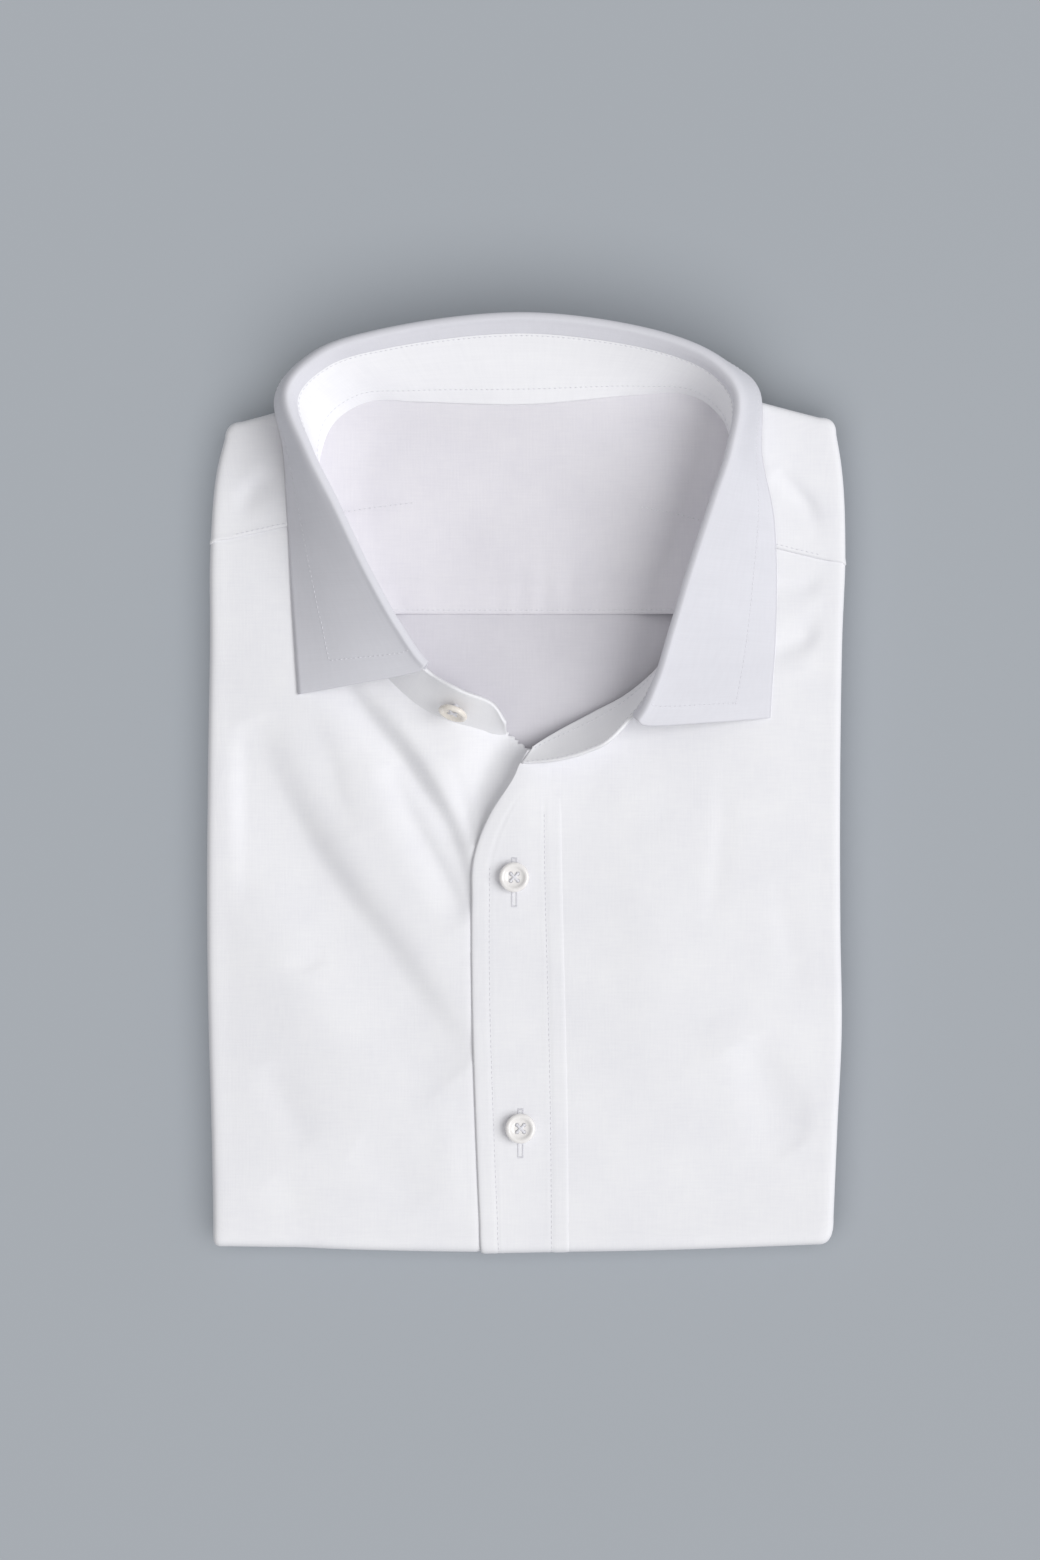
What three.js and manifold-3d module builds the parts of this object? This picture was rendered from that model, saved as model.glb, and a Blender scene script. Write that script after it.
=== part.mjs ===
// A man's shirt, folded for a shelf and lying on its back. Its sides and sleeves are turned under, its tail
// is folded up beneath, and its collar stands open. Millimetres, +Z up, +Y towards the collar. The origin
// lies under the middle of the fold, on the surface that it rests on.
import * as THREE from "three";
import { mergeVertices } from "three/addons/utils/BufferGeometryUtils.js";
import Module from "manifold-3d";

const wasm = await Module();
wasm.setup();

// ---- Driving dimensions ----
const WALL = 1.4; // a panel of cloth
const COLLAR_WALL = 1.6; // cloth, interlining and cloth
const SEAM = 0.3; // between two pieces
const RIM_HEIGHT = 22; // the top of the fold, where it starts to turn over its edge
const CROWN = { height: 3.5, across: 70, along: 60 }; // how much fuller the chest is, and over what way in
const SIDE_ROLL = 6.5; // radius of the fold at the sides and shoulders
const TAIL_ROLL = 11; // radius of the one big fold at the bottom
const UNDERTURN = 165; // degrees that the cloth runs round a roll before it ends
const ROLL_STEPS = 5; // facets of the cloth round a roll
const CREASE_ROOM = 3.6; // the fronts' creases sink no deeper than this
const CREASE_FADE = 14; // from the roll lines in, creases grow to their full depth over this distance
const CREASE_TAPER = 0.25; // how much of its depth a crease has at its ends
const PLACKET_WALL = 1.2;
const PLACKET_TURN = 99; // degrees that it runs round the bottom fold
const PLACKET_TOP = 22; // where it ends, under the collar
const PLACKET_SIDE = 20; // the buttonhole side has its creases beyond this line
// The button side runs on under the placket. It sinks from start before the placket's edge, over slope. Above
// full it draws back, and from none on it ends at that edge.
const UNDERLAP = { length: 33, drop: 1.9, start: 12, slope: 9, full: 10, none: 70 };
// The hollow inside the collar: deepest out to a share core of its size, and level again slope further out.
const NECK = { x: 0, y: 88, width: 70, length: 52, dip: 6, core: 0.3, slope: 0.75 };
const NECK_CUT = 0.97; // the neck hole, as a share of the seam's own outline
const SHOULDER_SETTLE = 14; // the layers under the shoulder fold spread to their full drop over this distance
const INNER_YOKE_SHORT = 3; // the inner yoke ends this far before the shoulder's roll line
const ROLL_RADIUS = 2.2; // the crest of the collar
const ROLL_PRESSED = 0.7; // the roll's height, as a share of its radius
const LEAF_START = 6.5; // the leaf begins this far below the crest, on the inside
const LEAF_BOW = { out: 2, up: 1.5 }; // how far the middle of the leaf stands off a straight line
const PLACKET_BUTTONS = [
  { name: "button_upper", x: -4.6, y: -35.9 },
  { name: "button_lower", x: -2.2, y: -132 },
];
const BUTTON = {
  radius: 5.75, height: 2.6, foot: 1, rim: 1.4, round: 0.6, dish: 0.9, hole: 0.8, spread: 1.35, sides: 20,
};
const BUTTON_THREAD = 0.1; // how far thread holds a button off the cloth, beside the seam's gap
// The collar button's row of the collar's table, and its share of the way up the stand.
const COLLAR_BUTTON = { position: 2, height: 0.52, thread: 0.2 };

// The fold's outline: how far each side edge lies from the middle, at places along the fold.
const SIDES = [
  { y: -178, left: 120.1, right: 117.6 },
  { y: -133, left: 120.9, right: 119.5 },
  { y: -95, left: 122.0, right: 121.2 },
  { y: -56, left: 122.6, right: 120.7 },
  { y: 10, left: 122.2, right: 120.7 },
  { y: 55, left: 121.5, right: 121.4 },
  { y: 91, left: 121.3, right: 122.6 },
  { y: 121, left: 118.6, right: 121.2 },
  { y: 140, left: 113.6, right: 118.0 },
];
// The shoulder line and the bottom fold, across the width.
const ENDS = [
  { x: -122, shoulder: 135.5, bottom: -178.0 },
  { x: -95, shoulder: 142.7, bottom: -178.4 },
  { x: -60, shoulder: 153.0, bottom: -179.5 },
  { x: 0, shoulder: 156.0, bottom: -180.3 },
  { x: 58, shoulder: 156.0, bottom: -179.4 },
  { x: 86, shoulder: 147.5, bottom: -178.4 },
  { x: 122, shoulder: 138.0, bottom: -177.0 },
];
// The seams where the yoke meets the two fronts.
const YOKE_SEAM = [
  { x: -122, y: 91.8 },
  { x: -94, y: 98.0 },
  { x: -60, y: 104.0 },
  { x: 60, y: 101.0 },
  { x: 96, y: 90.1 },
  { x: 122, y: 83.9 },
];
const INNER_SEAM_Y = 65; // the inner yoke's seam with the back
const BACK_LOW_Y = -150; // the back's hidden lower end, above the bottom fold
const BACK_INSET = 19; // from the fold's sides to the back's edges
const BACK_WALL = 1.2;
// The placket's two edges. Near the collar its free edge turns down into the opening.
const PLACKET = [
  { y: -181.4, left: -17.4, right: 16.8 },
  { y: -133, left: -19.4, right: 16.4 },
  { y: -76, left: -21.0, right: 15.2 },
  { y: -45, left: -21.0, right: 14.4 },
  { y: -29, left: -20.4, right: 14.1 },
  { y: -12, left: -14.2, right: 13.9 },
  { y: 3, left: -4.2, right: 14.0 },
  { y: 20, left: -1.0, right: 14.5 },
];
// Creases of the fronts and shoulders, each one a soft trough, or a ridge where its depth is below zero.
const CREASES = [
  { from: [-66, 40], bend: [-34, -6], to: [-21, -46], width: 5, depth: 3.2 }, // from the collar's point
  { from: [-57, 18], bend: [-36, -14], to: [-26, -44], width: 5, depth: -1.4 },
  { from: [-49, 2], bend: [-35, -30], to: [-22, -51], width: 4, depth: 1.7 },
  { from: [-76, 24], bend: [-50, -26], to: [-27, -70], width: 9, depth: -1.8 },
  { from: [-114, 45], bend: [-92, -30], to: [-24, -102], width: 8, depth: 2.4 }, // across the chest
  { from: [-104, -20], bend: [-74, -68], to: [-34, -112], width: 10, depth: -1.2 },
  { from: [-98, -112], bend: [-92, -126], to: [-83, -138], width: 8, depth: 1.1 },
  { from: [-66, -140], bend: [-52, -146], to: [-40, -162], width: 9, depth: 0.9 },
  { from: [2, 14], bend: [-12, -2], to: [-21, -26], width: 6, depth: 2.6 }, // the opening beside the placket
  { from: [-116, 108], bend: [-108, 111], to: [-98, 117], width: 4, depth: 1.2 }, // shoulders
  { from: [100, 117], bend: [110, 110], to: [117, 99], width: 4.5, depth: 1.1 },
  { from: [97, 79], bend: [108, 78], to: [119, 79], width: 4, depth: 0.9 },
  { from: [96, 54], bend: [108, 56], to: [119, 62], width: 4.5, depth: 1.0 },
  { from: [84, -104], bend: [92, -118], to: [102, -134], width: 11, depth: 1.1 },
  { from: [75, 6], bend: [74, -24], to: [70, -56], width: 6, depth: 0.7 },
];
// The collar, a row for each section on its way round from the button end to the buttonhole end: the neck
// seam, the crest of the roll with its height, and the leaf's edge with its height above what it hangs over.
// The stand runs on past the leaf at both ends.
const COLLAR = [
  { seam: [-7.5, 20.3], crest: [-7.5, 23.5, 30] },
  { seam: [-14, 21.7], crest: [-13, 31, 38] },
  { seam: [-28, 25.5], crest: [-25, 36, 42] },
  { seam: [-42, 33], crest: [-38.5, 44.5, 44], edge: [-87.5, 34, 1.9] },
  { seam: [-58, 50], crest: [-49, 59, 46.5], edge: [-89, 57, 1.9] },
  { seam: [-71, 74], crest: [-61, 80.5, 49], edge: [-90.3, 79, 1.9] },
  { seam: [-78, 99], crest: [-73, 105.6, 50], edge: [-91.6, 103, 1.9] },
  { seam: [-80, 119], crest: [-83.5, 127, 50], edge: [-93.2, 127, 2.1] },
  { seam: [-75, 138], crest: [-90.5, 148.5, 48], edge: [-96.5, 149, 20] },
  { seam: [-62, 147], crest: [-79, 162, 44.5], edge: [-85, 162, 9] },
  { seam: [-42, 147.5], crest: [-57, 170, 42], edge: [-60, 165.5, 3.5] },
  { seam: [0, 147], crest: [0, 177, 40], edge: [0, 171, 2.5] },
  { seam: [42, 150], crest: [54, 168.5, 42], edge: [57, 165.5, 3.5] },
  { seam: [63, 149.5], crest: [72.5, 159, 45], edge: [79.5, 161, 9] },
  { seam: [74.5, 141], crest: [80.5, 147.5, 48], edge: [89.5, 151, 20] },
  { seam: [79, 127], crest: [78, 127, 50], edge: [90.5, 125, 2.1] },
  { seam: [78.5, 106], crest: [71.5, 107, 49.5], edge: [94.8, 103, 1.9] },
  { seam: [72, 82], crest: [63, 81, 48.5], edge: [96, 79, 1.9] },
  { seam: [60.5, 60], crest: [55.9, 57, 47], edge: [95.5, 54, 1.9] },
  { seam: [50, 44], crest: [50, 38, 45.5], edge: [94.3, 38, 1.9] },
  { seam: [39, 33.5], crest: [42.5, 23.5, 44], edge: [93.5, 25, 1.9] },
  { seam: [26, 26], crest: [28, 14.5, 39.5] },
  { seam: [14, 19.5], crest: [13, 9.5, 34.5] },
  { seam: [5, 14.5], crest: [3.5, 9.5, 29.5] },
];
const FIRST_LEAF = COLLAR.findIndex((section) => section.edge);
const LAST_LEAF = COLLAR.findLastIndex((section) => section.edge);

const mix = (a, b, share) => a + (b - a) * share;
const clamp = (value, low = 0, high = 1) => Math.min(high, Math.max(low, value));
const ease = (value) => clamp(value) ** 2 * (3 - 2 * clamp(value));
const radians = THREE.MathUtils.degToRad;

// A value of a table between two of its rows.
function between(rows, along, at, column) {
  const last = rows.length - 1;
  let i = 0;
  while (i < last - 1 && at > rows[i + 1][along]) i += 1;
  const share = clamp((at - rows[i][along]) / (rows[i + 1][along] - rows[i][along]));
  return mix(rows[i][column], rows[i + 1][column], share);
}

const sideX = (x, y) => between(SIDES, "y", y, x < 0 ? "left" : "right");
const shoulderY = (x) => between(ENDS, "x", x, "shoulder");
const bottomY = (x) => between(ENDS, "x", x, "bottom");
const yokeSeamY = (x) => between(YOKE_SEAM, "x", x, "y");
const placketX = (y, edge) => between(PLACKET, "y", y, edge);

// ---- The surface of the fold ----

// The fold's top without its creases: level at the rims, fuller in the middle.
function smoothTop(x, y) {
  const toEnd = Math.min(shoulderY(x) - SIDE_ROLL - y, y - bottomY(x) - TAIL_ROLL);
  const across = clamp((sideX(x, y) - SIDE_ROLL - Math.abs(x)) / CROWN.across);
  const along = clamp(toEnd / CROWN.along);
  return RIM_HEIGHT + CROWN.height * Math.sin((across * Math.PI) / 2) * Math.sin((along * Math.PI) / 2);
}

// How deep the creases are at a point. They die out towards the fold's edges.
function creaseDepth(x, y) {
  let depth = 0;
  for (const crease of CREASES) {
    const [start, bend, end] = [crease.from, crease.bend, crease.to].map((p) => new THREE.Vector2(...p));
    const curve = new THREE.QuadraticBezierCurve(start, bend, end);
    const steps = 14;
    let nearest = { distance: Infinity, share: 0 };
    for (let k = 0; k <= steps; k += 1) {
      const distance = curve.getPoint(k / steps).distanceTo(new THREE.Vector2(x, y));
      if (distance < nearest.distance) nearest = { distance, share: k / steps };
    }
    const taper = mix(CREASE_TAPER, 1, Math.sin(nearest.share * Math.PI));
    depth += crease.depth * taper * Math.exp(-((nearest.distance / crease.width) ** 2));
  }
  const inset = Math.min(sideX(x, y) - Math.abs(x), shoulderY(x) - y, y - bottomY(x));
  return Math.min(CREASE_ROOM, depth) * ease((inset - SIDE_ROLL) / CREASE_FADE);
}

// How much of the button side's sinking has happened, on its way under the placket.
const underlap = (x, y) => ease((x - placketX(y, "left") + UNDERLAP.start) / UNDERLAP.slope);

// How far the outer face of each front lies below the smooth top.
const buttonSide = (x, y) => mix(creaseDepth(x, y), UNDERLAP.drop, underlap(x, y));
const buttonholeSide = (x, y) => (x > PLACKET_SIDE ? creaseDepth(x, y) : 0);

// Where cloth lies that covers the fold. (x, y) is its place on the opened-out panel, whose cloth runs on
// past the roll lines and turns under there. Its outer face is sunk(x, y) below the smooth top, and this is
// depth below that.
function onFold(x, y, depth, sunk) {
  let [baseX, baseY] = [x, y];
  for (let pass = 0; pass < 3; pass += 1) {
    const side = sideX(x, baseY) - SIDE_ROLL;
    baseX = clamp(x, -side, side);
    baseY = clamp(y, bottomY(baseX) + TAIL_ROLL, shoulderY(baseX) - SIDE_ROLL);
  }
  const [across, along] = [x - baseX, y - baseY];
  const below = sunk(baseX, baseY) + depth;
  const past = Math.hypot(across, along);
  if (past === 0) return new THREE.Vector3(x, y, smoothTop(x, y) - below);
  const endRadius = along < 0 ? TAIL_ROLL : SIDE_ROLL;
  const radius = mix(SIDE_ROLL, endRadius, Math.abs(along) / (Math.abs(across) + Math.abs(along)));
  const gone = Math.max(Math.abs(across) / SIDE_ROLL, Math.abs(along) / endRadius);
  const turn = Math.min(radians(UNDERTURN), gone);
  const reach = ((radius - below) * Math.sin(turn)) / past;
  const height = smoothTop(baseX, baseY) - radius + (radius - below) * Math.cos(turn);
  return new THREE.Vector3(baseX + across * reach, baseY + along * reach, height);
}

// A place on the way from a panel's turned-under edge, round its roll in even facets, to its far edge.
function overRoll(share, steps, rollSteps, turned, rollLine, far) {
  const step = share * steps;
  if (step <= rollSteps) return mix(turned, rollLine, step / rollSteps);
  return mix(rollLine, far, (step - rollSteps) / (steps - rollSteps));
}

const turnLength = (radius, degrees = UNDERTURN) => radius * radians(degrees);

// ---- Closed walls ----

function meshFrom(name, geometry, colour, roughness) {
  geometry.computeVertexNormals();
  const material = new THREE.MeshStandardMaterial({ color: colour, roughness, metalness: 0 });
  const mesh = new THREE.Mesh(geometry, material);
  mesh.name = name;
  return mesh;
}

function geometryFrom(points, triangles) {
  const geometry = new THREE.BufferGeometry().setFromPoints(points);
  geometry.setIndex(triangles.flat());
  return geometry;
}

// A wall between two faces. outer(u, v) and inner(u, v) give their points for u and v from 0 to 1, and u, v
// and the way out of the outer face follow the right-hand rule.
function wall(across, along, outer, inner) {
  const points = [];
  for (const face of [outer, inner])
    for (let j = 0; j <= along; j += 1)
      for (let i = 0; i <= across; i += 1) points.push(face(i / across, j / along));
  const at = (i, j, layer) => (layer * (along + 1) + j) * (across + 1) + i;
  const triangles = [];
  const quad = (a, b, c, d) => triangles.push([a, b, c], [a, c, d]);
  for (let j = 0; j < along; j += 1)
    for (let i = 0; i < across; i += 1) {
      quad(at(i, j, 0), at(i + 1, j, 0), at(i + 1, j + 1, 0), at(i, j + 1, 0));
      quad(at(i, j, 1), at(i, j + 1, 1), at(i + 1, j + 1, 1), at(i + 1, j, 1));
    }
  for (let i = 0; i < across; i += 1) {
    quad(at(i, 0, 0), at(i, 0, 1), at(i + 1, 0, 1), at(i + 1, 0, 0));
    quad(at(i + 1, along, 0), at(i + 1, along, 1), at(i, along, 1), at(i, along, 0));
  }
  for (let j = 0; j < along; j += 1) {
    quad(at(0, j + 1, 0), at(0, j + 1, 1), at(0, j, 1), at(0, j, 0));
    quad(at(across, j, 0), at(across, j, 1), at(across, j + 1, 1), at(across, j + 1, 0));
  }
  return geometryFrom(points, triangles);
}

// A wall that follows the fold: place(u, v) gives the point of the opened-out panel.
function panel(across, along, place, sunk, thickness = WALL) {
  const face = (depth) => (u, v) => onFold(...place(u, v), depth, sunk);
  return wall(across, along, face(0), face(thickness));
}

// Boolean cuts.
function solid(geometry) {
  const bare = geometry.clone();
  bare.deleteAttribute("normal");
  bare.deleteAttribute("uv");
  const merged = mergeVertices(bare, 1e-4);
  return new wasm.Manifold(new wasm.Mesh({
    numProp: 3,
    vertProperties: new Float32Array(merged.attributes.position.array),
    triVerts: new Uint32Array(merged.index.array),
  }));
}

function geometryOf(made) {
  const { vertProperties, triVerts } = made.getMesh();
  const geometry = new THREE.BufferGeometry();
  geometry.setAttribute("position", new THREE.BufferAttribute(vertProperties, 3));
  geometry.setIndex(new THREE.BufferAttribute(triVerts, 1));
  return geometry;
}

// ---- Collar ----

// A column of the collar's table as a smooth curve through its rows, from one row to another.
function collarCurve(column, first, last, height) {
  const rows = COLLAR.slice(first, last + 1);
  const curve = new THREE.CatmullRomCurve3(rows.map((row) => {
    const [x, y, z] = row[column];
    return new THREE.Vector3(x, y, height(x, y, z));
  }));
  return (position) => curve.getPoint(clamp((position - first) / (last - first)));
}

// The top of the cloth that the collar stands on and hangs over. It clears the placket a little past its
// edges.
const PLACKET_CLEAR = { side: 5, end: 2 };

function clothBelow(x, y) {
  if (y > shoulderY(x) || Math.abs(x) > sideX(x, y)) return 0;
  if (x < placketX(y, "left")) return smoothTop(x, y) - buttonSide(x, y);
  const besideIt = x < placketX(y, "right") + PLACKET_CLEAR.side;
  const placketHere = besideIt && y < PLACKET_TOP + PLACKET_CLEAR.end;
  return smoothTop(x, y) - buttonholeSide(x, y) + (placketHere ? SEAM + PLACKET_WALL : 0);
}

const lastRow = COLLAR.length - 1;
const seamAt = collarCurve("seam", 0, lastRow, (x, y) => clothBelow(x, y) + 1.5 * SEAM);
const crestAt = collarCurve("crest", 0, lastRow, (x, y, z) => z);
const edgeAt = collarCurve("edge", FIRST_LEAF, LAST_LEAF, (x, y, above) => clothBelow(x, y) + above);

// Away from the neck, level, at a position along the collar.
function outwardAt(position) {
  const step = 0.25;
  const along = crestAt(position + step).sub(crestAt(position - step));
  return new THREE.Vector3(-along.y, along.x, 0).normalize();
}

// Where the stand ends and the leaf begins.
function standTopAt(position) {
  const crest = crestAt(position);
  const seam = seamAt(position);
  const inside = crest.clone().addScaledVector(outwardAt(position), -ROLL_RADIUS);
  inside.z -= ROLL_RADIUS;
  return inside.lerp(seam, (LEAF_START - ROLL_RADIUS) / inside.distanceTo(seam));
}

// One section of the stand, from the seam up. Under the leaf it ends at the leaf's start, and on its bare
// ends at the crest.
function standSection(position) {
  const seam = seamAt(position);
  const lean = crestAt(position).sub(seam).normalize().dot(outwardAt(position));
  seam.z += COLLAR_WALL * Math.max(0, lean);
  const leafShare = ease(Math.min(position - FIRST_LEAF + 1, LAST_LEAF + 1 - position));
  const top = crestAt(position).lerp(standTopAt(position), leafShare);
  return new THREE.LineCurve3(seam, top);
}

// One section of the leaf, from the stand over the roll to its edge.
function leafSection(position) {
  const crest = crestAt(position);
  const outward = outwardAt(position);
  const edge = edgeAt(position);
  const start = standTopAt(position);
  const rise = crest.clone().sub(start).normalize();
  start.addScaledVector(rise, 1.5 * SEAM);
  const beside = (side) => {
    const point = crest.clone().addScaledVector(outward, ROLL_RADIUS * side);
    point.z -= ROLL_RADIUS * ROLL_PRESSED;
    return point;
  };
  const middle = beside(1).lerp(edge, 0.5).addScaledVector(outward, LEAF_BOW.out);
  middle.z += LEAF_BOW.up;
  return new THREE.CatmullRomCurve3([start, beside(-1), crest, beside(1), middle, edge]);
}

// A collar wall: section(position) is its curve at a position, and its cloth lies on the far side of it.
function collarWall(first, last, stations, steps, section) {
  const rows = [];
  for (let i = 0; i <= stations; i += 1) {
    const curve = section(mix(first, last, i / stations));
    rows.push(Array.from({ length: steps + 1 }, (_, j) => curve.getPoint(j / steps)));
  }
  const near = (i, j) => rows[clamp(i, 0, stations)][clamp(j, 0, steps)];
  const index = (share, count) => Math.round(share * count);
  const face = (u, v) => near(index(u, stations), index(v, steps)).clone();
  const back = (u, v) => {
    const [i, j] = [index(u, stations), index(v, steps)];
    const alongCollar = near(i + 1, j).clone().sub(near(i - 1, j));
    const upSection = near(i, j + 1).clone().sub(near(i, j - 1));
    return face(u, v).addScaledVector(alongCollar.cross(upSection).normalize(), -COLLAR_WALL);
  };
  return wall(stations, steps, face, back);
}

// The neck hole, cut straight down through the panels but not through what turns under the shoulder.
function neckCutter() {
  const [steps, height] = [72, 60];
  const middle = new THREE.Vector2(NECK.x, NECK.y);
  const outline = Array.from({ length: steps }, (_, k) => {
    const point = seamAt((k / steps) * lastRow);
    return new THREE.Vector2(point.x, point.y).sub(middle).multiplyScalar(NECK_CUT).add(middle);
  });
  const cutter = new THREE.ExtrudeGeometry(new THREE.Shape(outline), { depth: height, bevelEnabled: false });
  cutter.translate(0, 0, RIM_HEIGHT - SIDE_ROLL);
  return solid(cutter);
}

// ---- Panels ----

const openNeck = (geometry, cutter) => geometryOf(solid(geometry).subtract(cutter));

// Along a panel that starts turned under the bottom fold, and runs up to a given line.
function upFromTail(share, steps, x, far, degrees = UNDERTURN) {
  const rollLine = bottomY(x) + TAIL_ROLL;
  const rollSteps = Math.round((ROLL_STEPS * degrees) / UNDERTURN);
  return overRoll(share, steps, rollSteps, rollLine - turnLength(TAIL_ROLL, degrees), rollLine, far);
}

// Across a panel from where it is turned under one side, -1 or 1, to a given place.
function inFromSide(share, steps, side, y, far) {
  const rollLine = side * (sideX(side, y) - SIDE_ROLL);
  return overRoll(share, steps, ROLL_STEPS, rollLine + side * turnLength(SIDE_ROLL), rollLine, far);
}

function leftFront(cutter) {
  const [across, along] = [21, 34];
  const place = (u, v) => {
    const guide = upFromTail(v, along, 0, yokeSeamY(0) - SEAM);
    const under = ease((UNDERLAP.none - guide) / (UNDERLAP.none - UNDERLAP.full));
    const frontEdge = placketX(guide, "left") + UNDERLAP.length * under;
    const x = inFromSide(u, across, -1, guide, frontEdge);
    return [x, upFromTail(v, along, x, yokeSeamY(x) - SEAM)];
  };
  return openNeck(panel(across, along, place, buttonSide), cutter);
}

function rightFront(cutter) {
  const [across, along] = [17, 26];
  const place = (u, v) => {
    const guide = upFromTail(v, along, 0, yokeSeamY(0) - SEAM);
    const x = inFromSide(1 - u, across, 1, guide, placketX(guide, "left"));
    return [x, upFromTail(v, along, x, yokeSeamY(x) - SEAM)];
  };
  return openNeck(panel(across, along, place, buttonholeSide), cutter);
}

function placket(cutter) {
  const [across, along] = [4, 28];
  const place = (u, v) => {
    const y = upFromTail(v, along, 0, PLACKET_TOP, PLACKET_TURN);
    return [mix(placketX(y, "left"), placketX(y, "right"), u), y];
  };
  const sunk = (x, y) => buttonholeSide(x, y) - SEAM - PLACKET_WALL;
  return openNeck(panel(across, along, place, sunk, PLACKET_WALL), cutter);
}

function outerYoke(cutter) {
  const [halfAcross, along] = [14, 12];
  const place = (u, v) => {
    const side = u < 0.5 ? -1 : 1;
    const sideLine = mix(YOKE_SEAM.at(-1).y, SIDES.at(-1).y, v);
    const x = inFromSide(Math.min(u, 1 - u) * 2, halfAcross, side, sideLine, 0);
    const rollLine = shoulderY(x) - SIDE_ROLL;
    const y = overRoll(1 - v, along, ROLL_STEPS, rollLine + turnLength(SIDE_ROLL), rollLine, yokeSeamY(x));
    return [x, y];
  };
  return openNeck(panel(2 * halfAcross, along, place, creaseDepth), cutter);
}

// The layer under the fronts and the outer yoke: close below them at the shoulder, lower inside the neck.
function backDrop(x, y) {
  const settled = ease((shoulderY(x) - SIDE_ROLL - y) / SHOULDER_SETTLE);
  const fromNeck = Math.hypot((x - NECK.x) / NECK.width, (y - NECK.y) / NECK.length);
  const hollow = NECK.dip * (1 - ease((fromNeck - NECK.core) / NECK.slope));
  return WALL + 2 * SEAM + CREASE_ROOM * settled + hollow;
}

// A layer from one line across the fold to another, clear of its rolled sides.
function backLayer(across, along, low, high) {
  const face = (depth) => (u, v) => {
    const guide = mix(low(0), high(0), v);
    const x = mix(-sideX(-1, guide) + BACK_INSET, sideX(1, guide) - BACK_INSET, u);
    const y = mix(low(x), high(x), v);
    return new THREE.Vector3(x, y, smoothTop(x, y) - backDrop(x, y) - depth);
  };
  return wall(across, along, face(0), face(BACK_WALL));
}

const backPanel = () => backLayer(8, 10, () => BACK_LOW_Y, () => INNER_SEAM_Y - SEAM);
const innerYokeEnd = (x) => shoulderY(x) - SIDE_ROLL - INNER_YOKE_SHORT;
const innerYoke = () => backLayer(14, 10, () => INNER_SEAM_Y, innerYokeEnd);

// ---- Hidden layers ----

// The edge of what lies inside the fold, from the surface that it rests on to its top: the tail's roll, a
// groove, the sleeves, a groove, then the cloth inside the upper roll. reach is from the fold's outline, and
// below 0 inside it.
const TAIL = { inset: 4.5, radius: 3.5 };
const SLEEVE = { inset: 4.6, height: 7.9, radius: 0.7 };
const GROOVE = { inset: 6.1, lower: 7.15, upper: 8.8 };
const LOBES_END = 0.4; // towards the bottom fold the layers have merged at this share of the way
const LAYER_STEP = 0.3; // height between the merged layers' rows
const UPPER_ARC = { from: -76, to: 80, steps: 6 }; // the cloth inside the upper roll
const CORE_CLEAR = 0.65; // between the hidden layers and the cloth that covers them
const CORNER_CLEAR = 2.4; // more of it at the corners
const CORE_SPARE = 0.9; // more of it under the back
const UNDERLAP_HALF = 45; // the bottom fold is lower this far to each side, where the button side runs on
const TOP_RINGS = [17, 30, 44, 58, 74, 92]; // how far in from the outline the rows over the top lie
const RING_CORNER = 3; // radius of those rows' corners
const TOP_MIDDLE = { x: 0, y: -20 };
const CORNER_STEPS = 4; // facets round each corner
const EDGE_STEPS = [11, 9, 11, 9]; // and along each edge: right, top, left, bottom

function arc(inset, height, radius, from, to, steps) {
  return Array.from({ length: steps + 1 }, (_, k) => {
    const angle = radians(mix(from, to, k / steps));
    return { reach: radius * Math.cos(angle) - inset, height: height + radius * Math.sin(angle) };
  });
}

// The layers below the upper roll.
const LOWER_LAYERS = [
  ...arc(TAIL.inset, TAIL.radius, TAIL.radius, -90, 90, 4),
  { reach: -GROOVE.inset, height: GROOVE.lower },
  ...arc(SLEEVE.inset, SLEEVE.height, SLEEVE.radius, -80, 80, 2),
  { reach: -GROOVE.inset, height: GROOVE.upper },
];

function edgeRows(endShare, covered, atCorner) {
  const radius = mix(SIDE_ROLL, TAIL_ROLL, endShare);
  const lobes = 1 - clamp(endShare / LOBES_END);
  const lower = LOWER_LAYERS.map((row, k) => ({
    reach: mix(1 - radius, row.reach, lobes) - atCorner,
    height: mix(LAYER_STEP * k, row.height, lobes),
  }));
  const { from, to, steps } = UPPER_ARC;
  const upper = arc(radius, RIM_HEIGHT - radius, radius - covered, from, to, steps);
  return [...lower, ...upper].map((row) => ({ ...row, fan: radius + row.reach }));
}

// A place inside the outline: shares of the half width and half length, and how far in from each edge.
function insideOutline(shareX, shareY, insetX, insetHigh, insetLow) {
  let [x, y] = [0, 0];
  for (let pass = 0; pass < 3; pass += 1) {
    x = mix(-sideX(-1, y) + insetX, sideX(1, y) - insetX, (shareX + 1) / 2);
    y = mix(bottomY(x) + insetLow, shoulderY(x) - insetHigh, (shareY + 1) / 2);
  }
  return [x, y];
}

// Stations round the outline: along each edge, and fanned round each corner.
function outlineStations() {
  const stations = [];
  const corners = [[1, -1], [1, 1], [-1, 1], [-1, -1]];
  corners.forEach((corner, k) => {
    const next = corners[(k + 1) % corners.length];
    for (let i = 0; i <= CORNER_STEPS; i += 1) {
      const angle = radians(90 * (k - 1 + i / CORNER_STEPS));
      stations.push({ share: corner, facing: [Math.cos(angle), Math.sin(angle)] });
    }
    const facing = stations.at(-1).facing;
    for (let i = 1; i < EDGE_STEPS[k]; i += 1) {
      const t = i / EDGE_STEPS[k];
      stations.push({ share: [mix(corner[0], next[0], t), mix(corner[1], next[1], t)], facing });
    }
  });
  return stations;
}

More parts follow.
